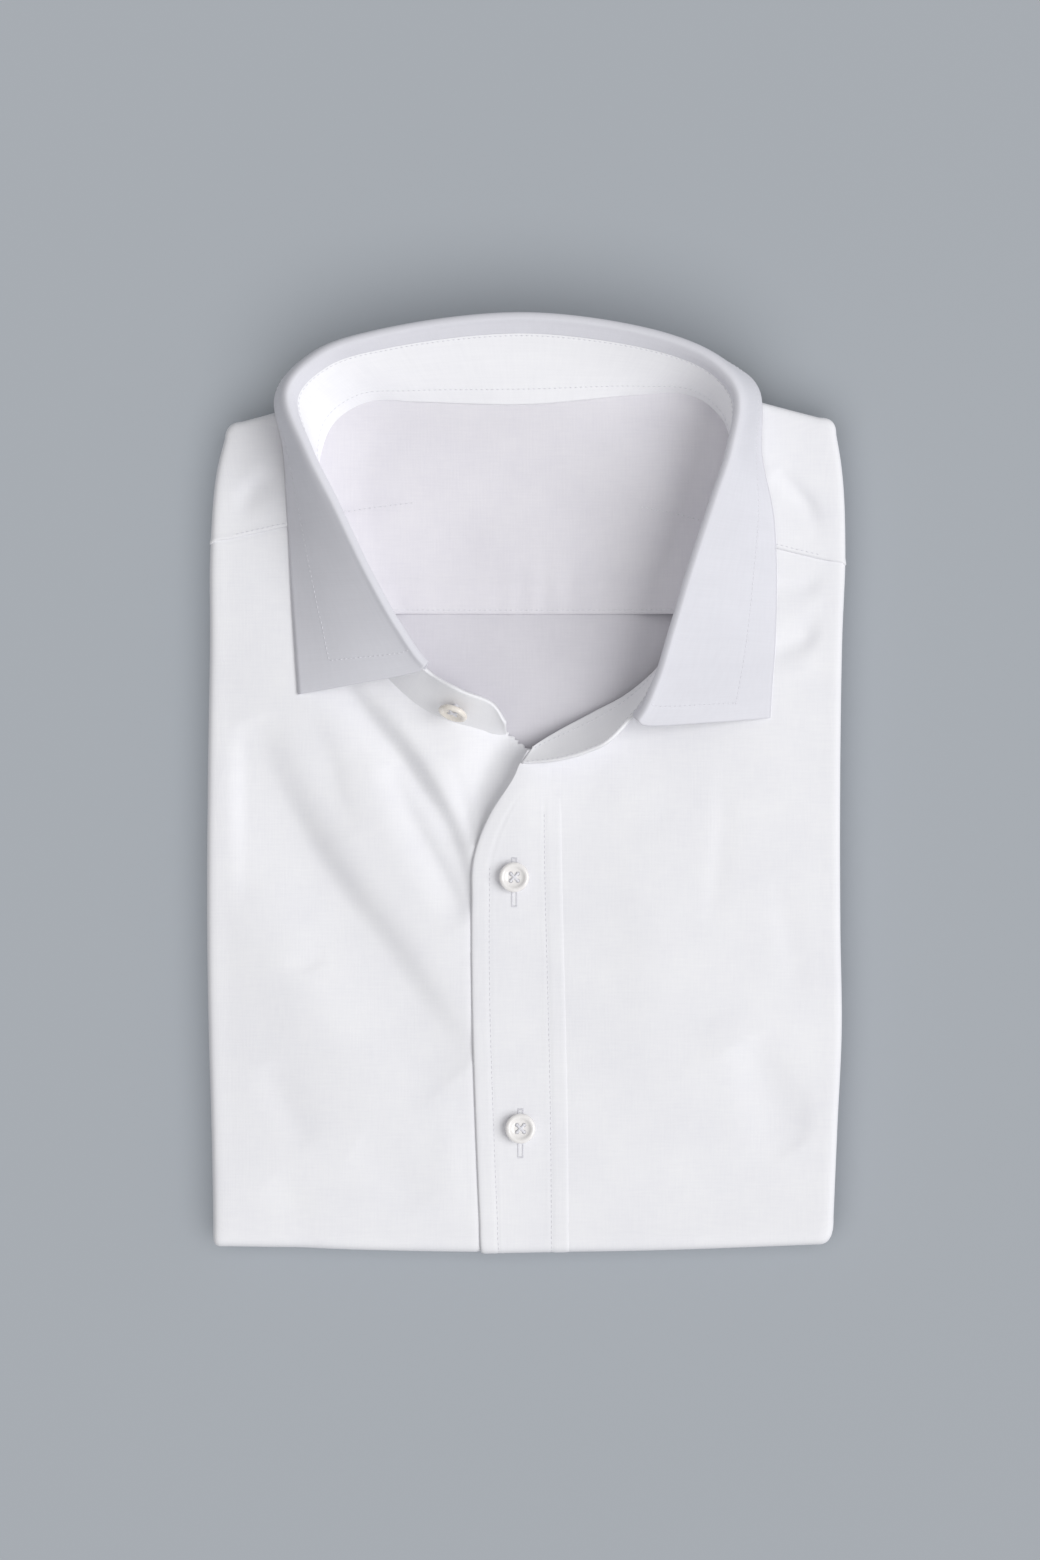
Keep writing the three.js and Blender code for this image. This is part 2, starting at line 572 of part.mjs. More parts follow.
const CORE_SINK = WALL + CREASE_ROOM + SEAM + BACK_WALL + CORE_CLEAR + CORE_SPARE;

// One station's points, from the surface that the fold rests on up round its edge and in over its top.
function layerColumn({ share, facing }) {
  const [facingX, facingY] = facing;
  const slope = Math.abs(facingY) / (Math.abs(facingX) + Math.abs(facingY));
  const [x, y] = insideOutline(...share, SIDE_ROLL, SIDE_ROLL, TAIL_ROLL);
  const underPlacket = Math.abs(x) < UNDERLAP_HALF && facingY === -1 ? UNDERLAP.drop : 0;
  const atShoulder = (facingY > 0 ? slope : 0) * (BACK_WALL + SEAM);
  const atCorner = CORNER_CLEAR * Math.abs(facingX * facingY);
  const covered = WALL + CORE_CLEAR + atCorner + atShoulder + underPlacket;
  const edge = edgeRows(facingY < 0 ? slope : 0, covered, atCorner).map(
    (row) => new THREE.Vector3(x + facingX * row.fan, y + facingY * row.fan, row.height),
  );
  const over = TOP_RINGS.map((inset) => {
    const [ringX, ringY] = insideOutline(...share, inset, inset, inset);
    const [px, py] = [ringX + facingX * RING_CORNER, ringY + facingY * RING_CORNER];
    const dip = Math.max(0, backDrop(px, py) - CREASE_ROOM - WALL - SEAM);
    return new THREE.Vector3(px, py, smoothTop(px, py) - CORE_SINK - dip);
  });
  return [...edge, ...over];
}

function hiddenLayers() {
  const rings = outlineStations().map(layerColumn);
  const rows = rings[0].length;
  const count = rings.length;
  const points = rings.flat();
  const { x: topX, y: topY } = TOP_MIDDLE;
  const bottom = points.push(new THREE.Vector3(0, 0, 0)) - 1;
  const top = points.push(new THREE.Vector3(topX, topY, smoothTop(topX, topY) - CORE_SINK)) - 1;
  const at = (station, row) => (station % count) * rows + row;
  const triangles = [];
  for (let i = 0; i < count; i += 1) {
    for (let j = 0; j < rows - 1; j += 1) {
      triangles.push([at(i, j), at(i + 1, j), at(i + 1, j + 1)], [at(i, j), at(i + 1, j + 1), at(i, j + 1)]);
    }
    triangles.push([bottom, at(i + 1, 0), at(i, 0)], [top, at(i, rows - 1), at(i + 1, rows - 1)]);
  }
  return geometryFrom(points, triangles);
}

// ---- Buttons ----

// A four-hole button, its back at the origin and its face up.
function button() {
  const { radius, height, foot, rim, round, dish, hole, spread, sides } = BUTTON;
  const profile = [
    [0, 0], [radius - foot, 0], [radius, foot], [radius, height - round], [radius - round, height],
    [radius - rim, height], [radius - rim - dish, height - dish], [0, height - dish],
  ];
  const disc = new THREE.LatheGeometry(profile.map((p) => new THREE.Vector2(...p)), sides);
  disc.rotateX(Math.PI / 2);
  let made = solid(disc);
  if (made.volume() < 0) made = made.mirror([0, 0, 1]);
  for (const [sx, sy] of [[-1, -1], [-1, 1], [1, -1], [1, 1]]) {
    const drill = new THREE.CylinderGeometry(hole, hole, height * 3, 8);
    drill.rotateX(Math.PI / 2);
    drill.translate(sx * spread, sy * spread, 0);
    made = made.subtract(solid(drill));
  }
  return geometryOf(made);
}

function placketButton({ name, x, y }) {
  const made = meshFrom(name, button(), 0xeeeae6, 0.35);
  const cloth = smoothTop(x, y) - buttonholeSide(x, y) + SEAM + PLACKET_WALL;
  made.position.set(x, y, cloth + SEAM + BUTTON_THREAD);
  return made;
}

// The collar button faces out from the stand, a little way in from its bare end.
function collarButton() {
  const { position, height, thread } = COLLAR_BUTTON;
  const section = standSection(position);
  const beside = (step) => standSection(position + step).getPoint(height);
  const along = beside(0.3).sub(beside(-0.3));
  const facing = along.cross(section.getPoint(1).sub(section.getPoint(0))).normalize().negate();
  const made = meshFrom("button_collar", button(), 0xede5d4, 0.35);
  made.position.copy(section.getPoint(height).addScaledVector(facing, COLLAR_WALL + SEAM + thread));
  made.quaternion.setFromUnitVectors(new THREE.Vector3(0, 0, 1), facing);
  return made;
}

// ---- The shirt ----

const WHITE = 0xf1f1f5;
const shirt = new THREE.Group();
const cutter = neckCutter();
const cloth = (name, geometry) => shirt.add(meshFrom(name, geometry, WHITE, 0.85));
cloth("hidden_layers", hiddenLayers());
cloth("back_panel", backPanel());
cloth("inner_yoke", innerYoke());
cloth("left_front", leftFront(cutter));
cloth("right_front", rightFront(cutter));
cloth("outer_yoke", outerYoke(cutter));
cloth("placket", placket(cutter));
cloth("collar_stand", collarWall(0, lastRow, 46, 3, standSection));
cloth("collar_leaf", collarWall(FIRST_LEAF, LAST_LEAF, 38, 10, leafSection));
PLACKET_BUTTONS.forEach((place) => shirt.add(placketButton(place)));
shirt.add(collarButton());

export default shirt;
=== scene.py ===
# %% [markdown]
# # A folded white shirt
#
# A man's shirt lies on its back, folded for a shelf. Its sides and sleeves are turned under, its tail is
# folded up beneath, and its collar stands open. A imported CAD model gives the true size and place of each
# piece, and this lesson dresses it: every panel becomes thin cloth with its folds, seams and stitches, the
# buttons get their holes and thread, and cotton and resin get materials of their own. The sizes are in
# millimetres, as a shirt maker writes them, and become metres where they become points of a mesh.

import bmesh
import bpy
import numpy as np
from mathutils import Matrix, Vector


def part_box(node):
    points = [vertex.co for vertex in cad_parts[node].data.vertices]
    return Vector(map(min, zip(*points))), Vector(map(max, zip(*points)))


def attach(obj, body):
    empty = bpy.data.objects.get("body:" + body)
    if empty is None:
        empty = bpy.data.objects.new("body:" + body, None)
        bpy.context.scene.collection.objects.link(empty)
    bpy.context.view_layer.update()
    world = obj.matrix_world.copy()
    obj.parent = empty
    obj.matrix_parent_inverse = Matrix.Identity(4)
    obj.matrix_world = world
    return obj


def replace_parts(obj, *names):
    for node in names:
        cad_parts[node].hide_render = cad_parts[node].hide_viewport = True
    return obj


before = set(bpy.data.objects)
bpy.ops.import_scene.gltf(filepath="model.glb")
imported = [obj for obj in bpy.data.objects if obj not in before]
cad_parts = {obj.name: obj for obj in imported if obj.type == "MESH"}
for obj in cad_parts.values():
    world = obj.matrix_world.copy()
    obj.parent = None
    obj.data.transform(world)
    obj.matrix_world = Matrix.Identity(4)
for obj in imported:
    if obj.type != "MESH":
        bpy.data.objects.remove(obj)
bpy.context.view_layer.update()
MM = 0.001  # metres in a millimetre
print("nodes:", ", ".join(sorted(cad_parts)))

# %% [markdown]
# ## The camera
#
# The shirt is seen from straight above, from far enough away that its sides show almost no perspective. A
# long lens does that. The image is 1040 by 1560 pixels, and a pixel is 1 / 2.6 mm at the height of the
# cloth, so the view is 400 by 600 mm there. The lens follows from the distance, the view's long side and
# the sensor.

# %% Camera
IMAGE = {"width": 1040, "height": 1560, "pixels_per_mm": 2.6}
CAMERA = {"x": -2.4, "y": 1.25, "z": 2200.0, "focus_z": 15.0, "sensor": 36.0}


def add_object(name, data):
    """A new object at the origin, in the scene."""
    made = bpy.data.objects.new(name, data)
    bpy.context.scene.collection.objects.link(made)
    return made


def make_camera():
    data = bpy.data.cameras.new("camera")
    data.sensor_width = CAMERA["sensor"]
    view_length = IMAGE["height"] / IMAGE["pixels_per_mm"]
    data.lens = CAMERA["sensor"] * (CAMERA["z"] - CAMERA["focus_z"]) / view_length
    camera = add_object("camera", data)
    camera.location = Vector((CAMERA["x"], CAMERA["y"], CAMERA["z"])) * MM
    bpy.context.scene.camera = camera
    return camera


lens = make_camera().data.lens
print(f"lens {lens:.1f} mm, view {IMAGE['width'] / IMAGE['pixels_per_mm']:.0f} mm wide")

# %% [markdown]
# ## Tables of the fold
#
# A folded shirt has few straight lines, so its outline is a short table for each edge, and a smooth curve
# runs through the rows. The same sizes drive the CAD model, so the thin cloth lands on its solids. Each
# table is a dictionary of columns.

# %% Outline, seams and placket


def table(columns, *rows):
    """Rows of numbers as named columns."""
    return {name: np.array(values, float) for name, values in zip(columns.split(), zip(*rows))}


SIDES = table(  # how far each side edge lies from the middle, at places along the fold
    "y left right",
    (-178, 120.1, 117.6), (-133, 120.9, 119.5), (-95, 122.0, 121.2), (-56, 122.6, 120.7), (10, 122.2, 120.7),
    (55, 121.5, 121.4), (91, 121.3, 122.6), (121, 118.6, 121.2), (140, 113.6, 118.0),
)
ENDS = table(  # the shoulder line and the bottom fold, across the width
    "x shoulder bottom",
    (-122, 135.5, -178.0), (-95, 142.7, -178.4), (-60, 153.0, -179.5), (0, 156.0, -180.3),
    (58, 156.0, -179.4), (86, 147.5, -178.4), (122, 138.0, -177.0),
)
YOKE_SEAM = table(  # where the yoke meets the two fronts
    "x y", (-122, 91.8), (-94, 98.0), (-60, 104.0), (60, 101.0), (96, 90.1), (122, 83.9)
)
PLACKET = table(  # its two edges; near the collar the free one turns down into the opening
    "y left right",
    (-181.4, -17.4, 16.8), (-133, -19.4, 16.4), (-76, -21.0, 15.2), (-45, -21.0, 14.4),
    (-29, -20.4, 14.1), (-12, -14.2, 13.9), (3, -4.6, 14.0), (8, -2.4, 14.1), (12.5, 0.4, 14.2),
    (20, 6, 14.5),
)
INNER_SEAM_Y = 65  # the inner yoke's seam with the back
BACK_LOW_Y = -150  # the back's hidden lower end
BACK_INSET = 19  # from the fold's sides to the back's edges
print(f"the fold is {SIDES['left'].max() + SIDES['right'].max():.0f} mm wide")

# %% Reading a table smoothly


def mix(a, b, share):
    return a + (b - a) * share


def ease(value):
    """0 to 1, slow at both ends."""
    value = np.clip(value, 0, 1)
    return value * value * (3 - 2 * value)


def between(rows, along, at, column):
    """A column's value between the rows, on a smooth curve through them."""
    places, values = rows[along], rows[column]
    slopes = np.gradient(values, places)
    at = np.clip(at, places[0], places[-1])
    first = np.clip(np.searchsorted(places, at) - 1, 0, len(places) - 2)
    step = places[first + 1] - places[first]
    t = (at - places[first]) / step
    start, end = values[first], values[first + 1]
    pull = (1 - t) * slopes[first] - t * slopes[first + 1]
    lean = (1 - 2 * t) * (end - start) / step
    return mix(start, end, t) + t * (1 - t) * step * (pull - lean)


def side_x(x, y):
    return np.where(x < 0, between(SIDES, "y", y, "left"), between(SIDES, "y", y, "right"))


def shoulder_y(x):
    return between(ENDS, "x", x, "shoulder")


def bottom_y(x):
    return between(ENDS, "x", x, "bottom")


print(f"shoulder line at the middle: {shoulder_y(np.array([0.0]))[0]:.1f} mm")

# %% [markdown]
# ## The surface of the fold
#
# All panels lie on one soft, pillow-like surface: level at the rims, fuller over the chest, and rolled
# under at the sides, the shoulders and the bottom. One function takes a place on an opened-out panel to its
# place on the fold. Cloth past a roll line runs round a circle there, so it keeps its length and turns
# under.

# %% The fold's smooth top
RIM_HEIGHT = 22  # the top of the fold, where it starts to turn over its edge
CROWN = {"height": 3.5, "across": 70, "along": 60}  # how much fuller the chest is, and how far in it is full
SIDE_ROLL = 6.5  # radius of the fold at the sides and shoulders
TAIL_ROLL = 11  # radius of the one big fold at the bottom
UNDERTURN = np.radians(165)  # the cloth runs this far round a roll
PRESSED = 4.4  # how square the fold's edge is; 2 is a round roll
CORNERS = {"bottom_left": 7.0, "bottom_right": 2.8, "top_left": 2.2, "top_right": 2.6}  # and its corners
SETTLING = 3  # rounds, because the places of the sides and of the ends depend on each other
TINY = 1e-9


def smooth_top(x, y):
    across = np.clip((side_x(x, y) - SIDE_ROLL - np.abs(x)) / CROWN["across"], 0, 1)
    to_end = np.minimum(shoulder_y(x) - SIDE_ROLL - y, y - bottom_y(x) - TAIL_ROLL)
    along = np.clip(to_end / CROWN["along"], 0, 1)
    return RIM_HEIGHT + CROWN["height"] * np.sin(across * np.pi / 2) * np.sin(along * np.pi / 2)


def pressed(value):
    """A sine or cosine, drawn towards 1, so that a circle becomes a rounded square."""
    return np.sign(value) * np.abs(value) ** (2 / PRESSED)


def on_fold(x, y, sunk):
    """Where (x, y) of an opened-out panel lies; sunk(x, y) is how far it is below the smooth top."""
    base_x, base_y = x, y
    for _ in range(SETTLING):
        side = side_x(x, base_y) - SIDE_ROLL
        base_x = np.clip(x, -side, side)
        base_y = np.clip(y, bottom_y(base_x) + TAIL_ROLL, shoulder_y(base_x) - SIDE_ROLL)
    below = sunk(base_x, base_y)
    end_roll = np.where(y < base_y, TAIL_ROLL, SIDE_ROLL)
    across, along = (x - base_x) / SIDE_ROLL, (y - base_y) / end_roll
    bottom, top = (
        np.where(x < 0, CORNERS[f"{end}_left"], CORNERS[f"{end}_right"]) for end in ("bottom", "top")
    )
    corner = np.where(y < 0, bottom, top)
    past = np.maximum((np.abs(across) ** corner + np.abs(along) ** corner) ** (1 / corner), TINY)
    turn = np.minimum(UNDERTURN, past)
    out, down = pressed(np.sin(turn)), 1 - pressed(np.cos(turn))
    roll = mix(SIDE_ROLL, end_roll, (np.abs(along) / past) ** corner)
    return np.stack([
        base_x + across / past * (SIDE_ROLL - below) * out,
        base_y + along / past * (end_roll - below) * out,
        smooth_top(base_x, base_y) - below - (roll - below) * down,
    ], axis=-1)


print(f"highest place of the chest: {smooth_top(np.array([0.0]), np.array([0.0]))[0]:.1f} mm")

# %% [markdown]
# ## A smooth curve through points
#
# Folds, the collar and the seams all follow free curves. A spline through a few chosen points does for the
# shape what a flexible ruler does for a pattern cutter. This one weighs each span by the root of its
# length, so it doesn't overshoot where the points are uneven.

# %% Spline
SHORTEST = 1e-4  # mm; a span between two points counts as at least this long


def smooth_curve(points, shares):
    """Points at shares from 0 to 1 of a curve through rows of points, or of one curve for each share."""
    points = np.asarray(points, float)
    shares = np.atleast_1d(np.asarray(shares, float))
    if points.ndim == 2:
        points = np.repeat(points[:, None, :], len(shares), axis=1)
    last = len(points) - 1
    place = np.clip(shares, 0, 1) * last
    first = np.minimum(place.astype(int), last - 1)
    t = (place - first)[:, None]
    padded = np.concatenate([2 * points[:1] - points[1:2], points, 2 * points[-1:] - points[-2:-1]])
    p0, p1, p2, p3 = (padded[first + k, np.arange(len(shares))] for k in range(4))
    d0, d1, d2 = (
        np.maximum(np.linalg.norm(b - a, axis=1, keepdims=True), SHORTEST) ** 0.5
        for a, b in ((p0, p1), (p1, p2), (p2, p3))
    )
    leave = ((p1 - p0) / d0 - (p2 - p0) / (d0 + d1) + (p2 - p1) / d1) * d1
    arrive = ((p2 - p1) / d1 - (p3 - p1) / (d1 + d2) + (p3 - p2) / d2) * d1
    square, cube = 3 * (p2 - p1) - 2 * leave - arrive, 2 * (p1 - p2) + leave + arrive
    return p1 + leave * t + square * t**2 + cube * t**3


halfway = smooth_curve([(0, 0), (10, 5), (20, 0)], [0.5])[0]
print("the curve passes its middle point:", halfway)

# %% [markdown]
# ## Folds and creases
#
# Cotton that has been pressed and folded keeps soft troughs and ridges, no two alike. A cloth simulation
# gives folds of its own choosing, so here each one is listed: a path across the cloth, a width on
# either side, since a real fold has one steep and one gentle flank, and a depth that is below zero for a
# ridge.

# %% Table of creases
CREASES = [  # path, width to the left and right of it, depth
    ([(-74, 44), (-66.5, 33), (-58, 22), (-48.5, 10.5), (-39.3, -3), (-32.5, -13.5), (-26.5, -28),
      (-22, -50)], (4, 8.5), 4.5),
    ([(-58, 34), (-48, 21), (-39, 8), (-31, -5), (-25, -18), (-20, -34)], (6, 2.6), -0.8),
    ([(-29, 9), (-25, -2), (-22, -14), (-20.5, -30)], (1.6, 3.4), 0.75),
    ([(-54, 6), (-45.5, -11), (-39, -23), (-31, -38), (-24, -54)], (3.6, 7), 2.6),
    ([(-62, 12), (-54, -8), (-44, -28), (-30, -52), (-23, -66)], (7, 9), -0.7),
    ([(-106, 24), (-98, 3), (-90, -13), (-81, -30), (-69, -47), (-58, -60.5), (-40, -87), (-22, -108)],
     (9, 22), 4.9),
    ([(-100, 16), (-82, -12), (-68, -32), (-58, -45), (-46, -60), (-30, -84), (-18, -102)], (12, 4.5), -0.7),
    ([(-84, 26), (-76, 10), (-72, -6), (-66, -20)], (4, 9), 0.8),
    ([(-118, 24), (-112, -4), (-104, -22), (-96, -36)], (9, 9), 0.4),
    ([(-106, -40), (-96, -62), (-82, -88), (-62, -110), (-36, -134)], (12, 16), -0.9),
    ([(-92, -70), (-84, -70), (-77, -65)], (5, 2), 0.4),
    ([(-100, -108), (-93, -122), (-83, -138)], (8, 6), 0.8),
    ([(-66, -140), (-54, -147), (-40, -162)], (9, 7), 0.7),
    ([(-98, -152), (-90, -160), (-82, -172)], (7, 6), 0.5),
    ([(-34, -118), (-30, -140), (-28, -166)], (6, 8), -0.5),
    ([(8, 40), (-1, 27), (-9, 14), (-15, 3), (-20, -9), (-22, -24)], (11, 9), 4.9),
    ([(-119, 106), (-108, 111), (-95, 119)], (3.5, 6), 1.9),
    ([(-112, 128), (-106, 122), (-97, 120)], (5, 4), -0.5),
    ([(96, 120), (106, 109), (120, 95)], (3.2, 6), 2.1),
    ([(95, 112), (104, 104), (110, 95)], (4, 3), -0.6),
    ([(94, 78), (107, 76), (121, 80)], (3.5, 3.5), 1.3),
    ([(96, 70), (106, 67), (118, 69)], (4, 4), -0.5),
    ([(92, 50), (106, 55), (121, 63)], (6, 4), 1.9),
    ([(88, 40), (104, 44), (119, 50)], (6, 4), -0.6),
    ([(82, -100), (92, -118), (106, -138)], (10, 13), 1.9),
    ([(74, -88), (80, -112), (86, -146)], (10, 8), -0.7),
    ([(75, 6), (74, -24), (70, -56)], (5, 3), 0.45),
    ([(95, -34), (100, -58), (104, -82)], (6, 4), 0.4),
    ([(40, -20), (46, -60), (44, -104)], (14, 10), -0.5),
    ([(30, 6), (38, -4), (52, -10)], (8, 8), -0.4),
]
CREASE_ROOM = 4.9  # the deepest that creases sink
CREASE_FADE = 9  # from the roll lines in, creases grow to their full depth over this distance
CREASE_TAPER = 0.7  # below 1, creases keep their depth for longer before they fade at their ends


def trough(x, y, path, widths, depth, spans=30):
    """How deep one crease is at each place."""
    line = smooth_curve(path, np.linspace(0, 1, spans + 1))
    start, ahead = line[:-1], np.diff(line, axis=0)
    apart = np.stack([x[:, None] - start[:, 0], y[:, None] - start[:, 1]], axis=-1)
    share = np.clip((apart * ahead).sum(-1) / (ahead**2).sum(-1), 0, 1)
    distance = np.linalg.norm(apart - ahead * share[..., None], axis=-1)
    rows, nearest = np.arange(len(x)), np.argmin(distance, axis=1)
    apart, ahead = apart[rows, nearest], ahead[nearest]
    to_left = ahead[:, 0] * apart[:, 1] - ahead[:, 1] * apart[:, 0] > 0
    part = (nearest + share[rows, nearest]) / spans
    taper = np.sin(np.pi * np.clip(part, 0, 1)) ** CREASE_TAPER
    return depth * taper * np.exp(-((distance[rows, nearest] / np.where(to_left, *widths)) ** 2))


def crease_depth(x, y):
    shape, (x, y) = np.shape(x), (np.ravel(x), np.ravel(y))
    depth = sum(trough(x, y, *crease) for crease in CREASES)
    inset = np.minimum(side_x(x, y) - np.abs(x), np.minimum(shoulder_y(x) - y, y - bottom_y(x)))
    faded = np.minimum(CREASE_ROOM, depth) * ease((inset - SIDE_ROLL) / CREASE_FADE)
    return faded.reshape(shape)


print(len(CREASES), "creases")

# %% [markdown]
# ## The collar's curves
#
# The collar is one long strip that goes round the neck. Three curves hold it: the seam where its stand
# meets the body, the crest where the leaf rolls over, and the leaf's outer edge. The stand runs on past the
# leaf at both ends, so those rows have no edge.

# %% Table of the collar
COLLAR = [  # neck seam x, y; crest x, y, z; leaf edge x, y and its height above the cloth below
    ((-7.5, 20.3), (-7.5, 23.5, 30), None),
    ((-14, 21.7), (-13, 31, 38), None),
    ((-28, 25.5), (-25, 36, 42), None),
    ((-42, 33), (-38.5, 44.5, 44), (-87.5, 34, 0.8)),
    ((-58, 50), (-49, 59, 46.5), (-89, 57, 0.8)),
    ((-71, 74), (-61, 80.5, 49), (-90.3, 79, 0.8)),
    ((-78, 99), (-73, 105.6, 50), (-91.6, 103, 0.8)),
    ((-80, 119), (-83.5, 127, 50), (-93.2, 127, 1.0)),
    ((-75, 138), (-90.5, 148.5, 48), (-96.5, 149, 20)),
    ((-62, 147), (-79, 162, 44.5), (-85, 162, 9)),
    ((-42, 147.5), (-57, 170, 42), (-60, 165.5, 3.5)),
    ((0, 147), (0, 177, 40), (0, 171, 2.5)),
    ((42, 150), (54, 168.5, 42), (57, 165.5, 3.5)),
    ((63, 149.5), (72.5, 159, 45), (79.5, 161, 9)),
    ((74.5, 141), (80.5, 147.5, 48), (89.5, 151, 20)),
    ((79, 127), (78, 127, 50), (90.5, 125, 1.0)),
    ((78.5, 106), (71.5, 107, 49.5), (94.8, 103, 0.8)),
    ((72, 82), (63, 81, 48.5), (96, 79, 0.8)),
    ((60.5, 60), (55.9, 57, 47), (95.5, 54, 0.8)),
    ((50, 44), (50, 38, 45.5), (94.3, 38, 0.8)),
    ((39, 33.5), (42.5, 23.5, 44), (93.5, 25, 0.8)),
    ((26, 26), (28, 14.5, 39.5), None),
    ((14, 19.5), (13, 9.5, 34.5), None),
    ((1.5, 12.5), (-2, 7.9, 29.4), None),
]
LAST_ROW = len(COLLAR) - 1
LEAF_ROWS = [i for i, row in enumerate(COLLAR) if row[2]]
FIRST_LEAF, LAST_LEAF = LEAF_ROWS[0], LEAF_ROWS[-1]
SEAM = 0.45  # between two pieces that are sewn together
PLACKET_RISE = 0.62  # the placket's face above the front that carries it
PLACKET_ROOM = {"right": 5, "top": 24}  # the collar's foot stands on the placket within these bounds
UNDERLAP = {  # how the button side runs on under the placket, from its free edge and below a height
    "length": 33, "below": 70, "over": 60, "drop": 0.75, "start": 2, "slope": 5,
}
LIFT = {"x": -3, "y": 2, "across": 17, "along": 24, "height": 2.6}  # the placket's free edge, curling up
PRESSED_FLAT = {"until": 14, "over": 6}  # the buttonhole side has no creases left of this line


def placket_x(y, edge):
    return between(PLACKET, "y", y, edge)


def button_side(x, y):
    """How far the front with the buttons lies below the smooth top."""
    under = ease((x - placket_x(y, "left") + UNDERLAP["start"]) / UNDERLAP["slope"])
    return mix(crease_depth(x, y), UNDERLAP["drop"], under)


def buttonhole_side(x, y):
    across, along = (x - LIFT["x"]) / LIFT["across"], (y - LIFT["y"]) / LIFT["along"]
    lifted = LIFT["height"] * np.exp(-(across**2) - along**2)
    return crease_depth(x, y) * ease((x - PRESSED_FLAT["until"]) / PRESSED_FLAT["over"]) - lifted


def cloth_below(x, y):
    """The top of the cloth that the collar stands on and hangs over."""
    on_button_side = x < placket_x(y, "left")
    within = (x < placket_x(y, "right") + PLACKET_ROOM["right"]) & (y < PLACKET_ROOM["top"])
    on_placket = ~on_button_side & within
    sunk = np.where(on_button_side, button_side(x, y), buttonhole_side(x, y))
    off_fold = (y > shoulder_y(x)) | (np.abs(x) > side_x(x, y))
    return np.where(off_fold, 0, smooth_top(x, y) - sunk + np.where(on_placket, PLACKET_RISE, 0))


def collar_line(column, first, last, height):
    """A column of the collar's table as a function of the place along the collar, in rows."""
    rows = np.array([row[column][:2] for row in COLLAR[first:last + 1]], float)
    points = np.column_stack([rows, height(rows, COLLAR[first:last + 1])])
    return lambda place: smooth_curve(points, (np.atleast_1d(place) - first) / (last - first))


def lying(column):
    """Heights of points that lie on the cloth, or hang over it by their third number."""
    def height(rows, table_rows):
        above = [row[column][2] if column == 2 else SEAM for row in table_rows]
        return cloth_below(rows[:, 0], rows[:, 1]) + above
    return height


MEASURING = 200  # points along a line, to measure it


def length_of(points):
    """The length of the line through a row of points, or of each line through rows of points."""
    return np.linalg.norm(np.diff(points, axis=0), axis=-1).sum(0)


seam_at = collar_line(0, 0, LAST_ROW, lying(0))
crest_at = collar_line(1, 0, LAST_ROW, lambda rows, table_rows: [row[1][2] for row in table_rows])
edge_at = collar_line(2, FIRST_LEAF, LAST_LEAF, lying(2))
round_neck = length_of(seam_at(np.linspace(0, LAST_ROW, MEASURING)))
print(f"the neck seam is {round_neck:.0f} mm long")

# %% [markdown]
# ## The neck hole
#
# The fronts and the outer yoke end at the neck seam, under the foot of the stand. A sheet is cut to it in
# the way that scissors would: the faces inside the seam go, and the points of the faces that stay are moved
# onto the line.

# %% Distance to the neck seam
NECK_POINTS = 220
NECK_LINE = seam_at(np.linspace(0, LAST_ROW, NECK_POINTS))[:, :2]
NECK_MIDDLE = (0, 88)


def from_neck(x, y):
    """How far each place lies outside the neck seam, below 0 inside it, and the seam's nearest point."""
    start, end = NECK_LINE, np.roll(NECK_LINE, -1, axis=0)
    across = end - start
    place = np.stack([x, y], axis=-1)[:, None, :]
    share = ((place - start) * across).sum(-1) / (across**2).sum(-1)
    nearest = start + across * np.clip(share, 0, 1)[..., None]
    distance = np.linalg.norm(place - nearest, axis=-1)
    closest = np.argmin(distance, axis=1)
    crossed = (start[:, 1] > y[:, None]) != (end[:, 1] > y[:, None])
    rise = np.where(across[:, 1] == 0, TINY, across[:, 1])
    cut_x = start[:, 0] + (y[:, None] - start[:, 1]) * across[:, 0] / rise
    inside = (crossed & (x[:, None] < cut_x)).sum(1) % 2 == 1
    rows = np.arange(len(x))
    return np.where(inside, -1, 1) * distance[rows, closest], nearest[rows, closest]


inside_by = -from_neck(*np.array(NECK_MIDDLE)[:, None])[0][0]
print(f"the middle of the neck is {inside_by:.0f} mm from the seam")

# %% [markdown]
# ## Cotton
#
# The cloth is white poplin: fine combed cotton in a plain weave, bleached, then pressed. It has no gloss of
# its own, only a soft sheen where light grazes the fibre ends, and a faint grain from slightly uneven
# yarns. A shader can hold all three. Two wave textures are the warp and the weft, stretched noise is the
# uneven yarn, and both go into a weak bump, because poplin looks smooth from a step away.

# %% Colours and one helper for shader nodes


def linear(hex_colour):
    """An sRGB hex colour as linear red, green, blue and alpha."""
    channels = [int(hex_colour[i:i + 2], 16) / 255 for i in (0, 2, 4)]
    return [c / 12.92 if c <= 0.04045 else ((c + 0.055) / 1.055) ** 2.4 for c in channels] + [1.0]


def add_node(tree, kind, inputs=None, **settings):
    """Adds a shader node with its settings; an input takes a value, or another node's output."""
    node = tree.nodes.new(kind)
    for name, value in settings.items():
        setattr(node, name, value)
    for socket, value in (inputs or {}).items():
        if isinstance(value, bpy.types.NodeSocket):
            tree.links.new(value, node.inputs[socket])
        else:
            node.inputs[socket].default_value = value
    return node


def new_material(name, finish):
    """A material of one shader, with its node tree; the finish gives the shader's own values."""
    material = bpy.data.materials.new(name)
    material.use_nodes = True
    tree = material.node_tree
    tree.nodes.clear()
    shader = add_node(tree, "ShaderNodeBsdfPrincipled", finish)
    add_node(tree, "ShaderNodeOutputMaterial", {"Surface": shader.outputs["BSDF"]})
    return material, tree, shader


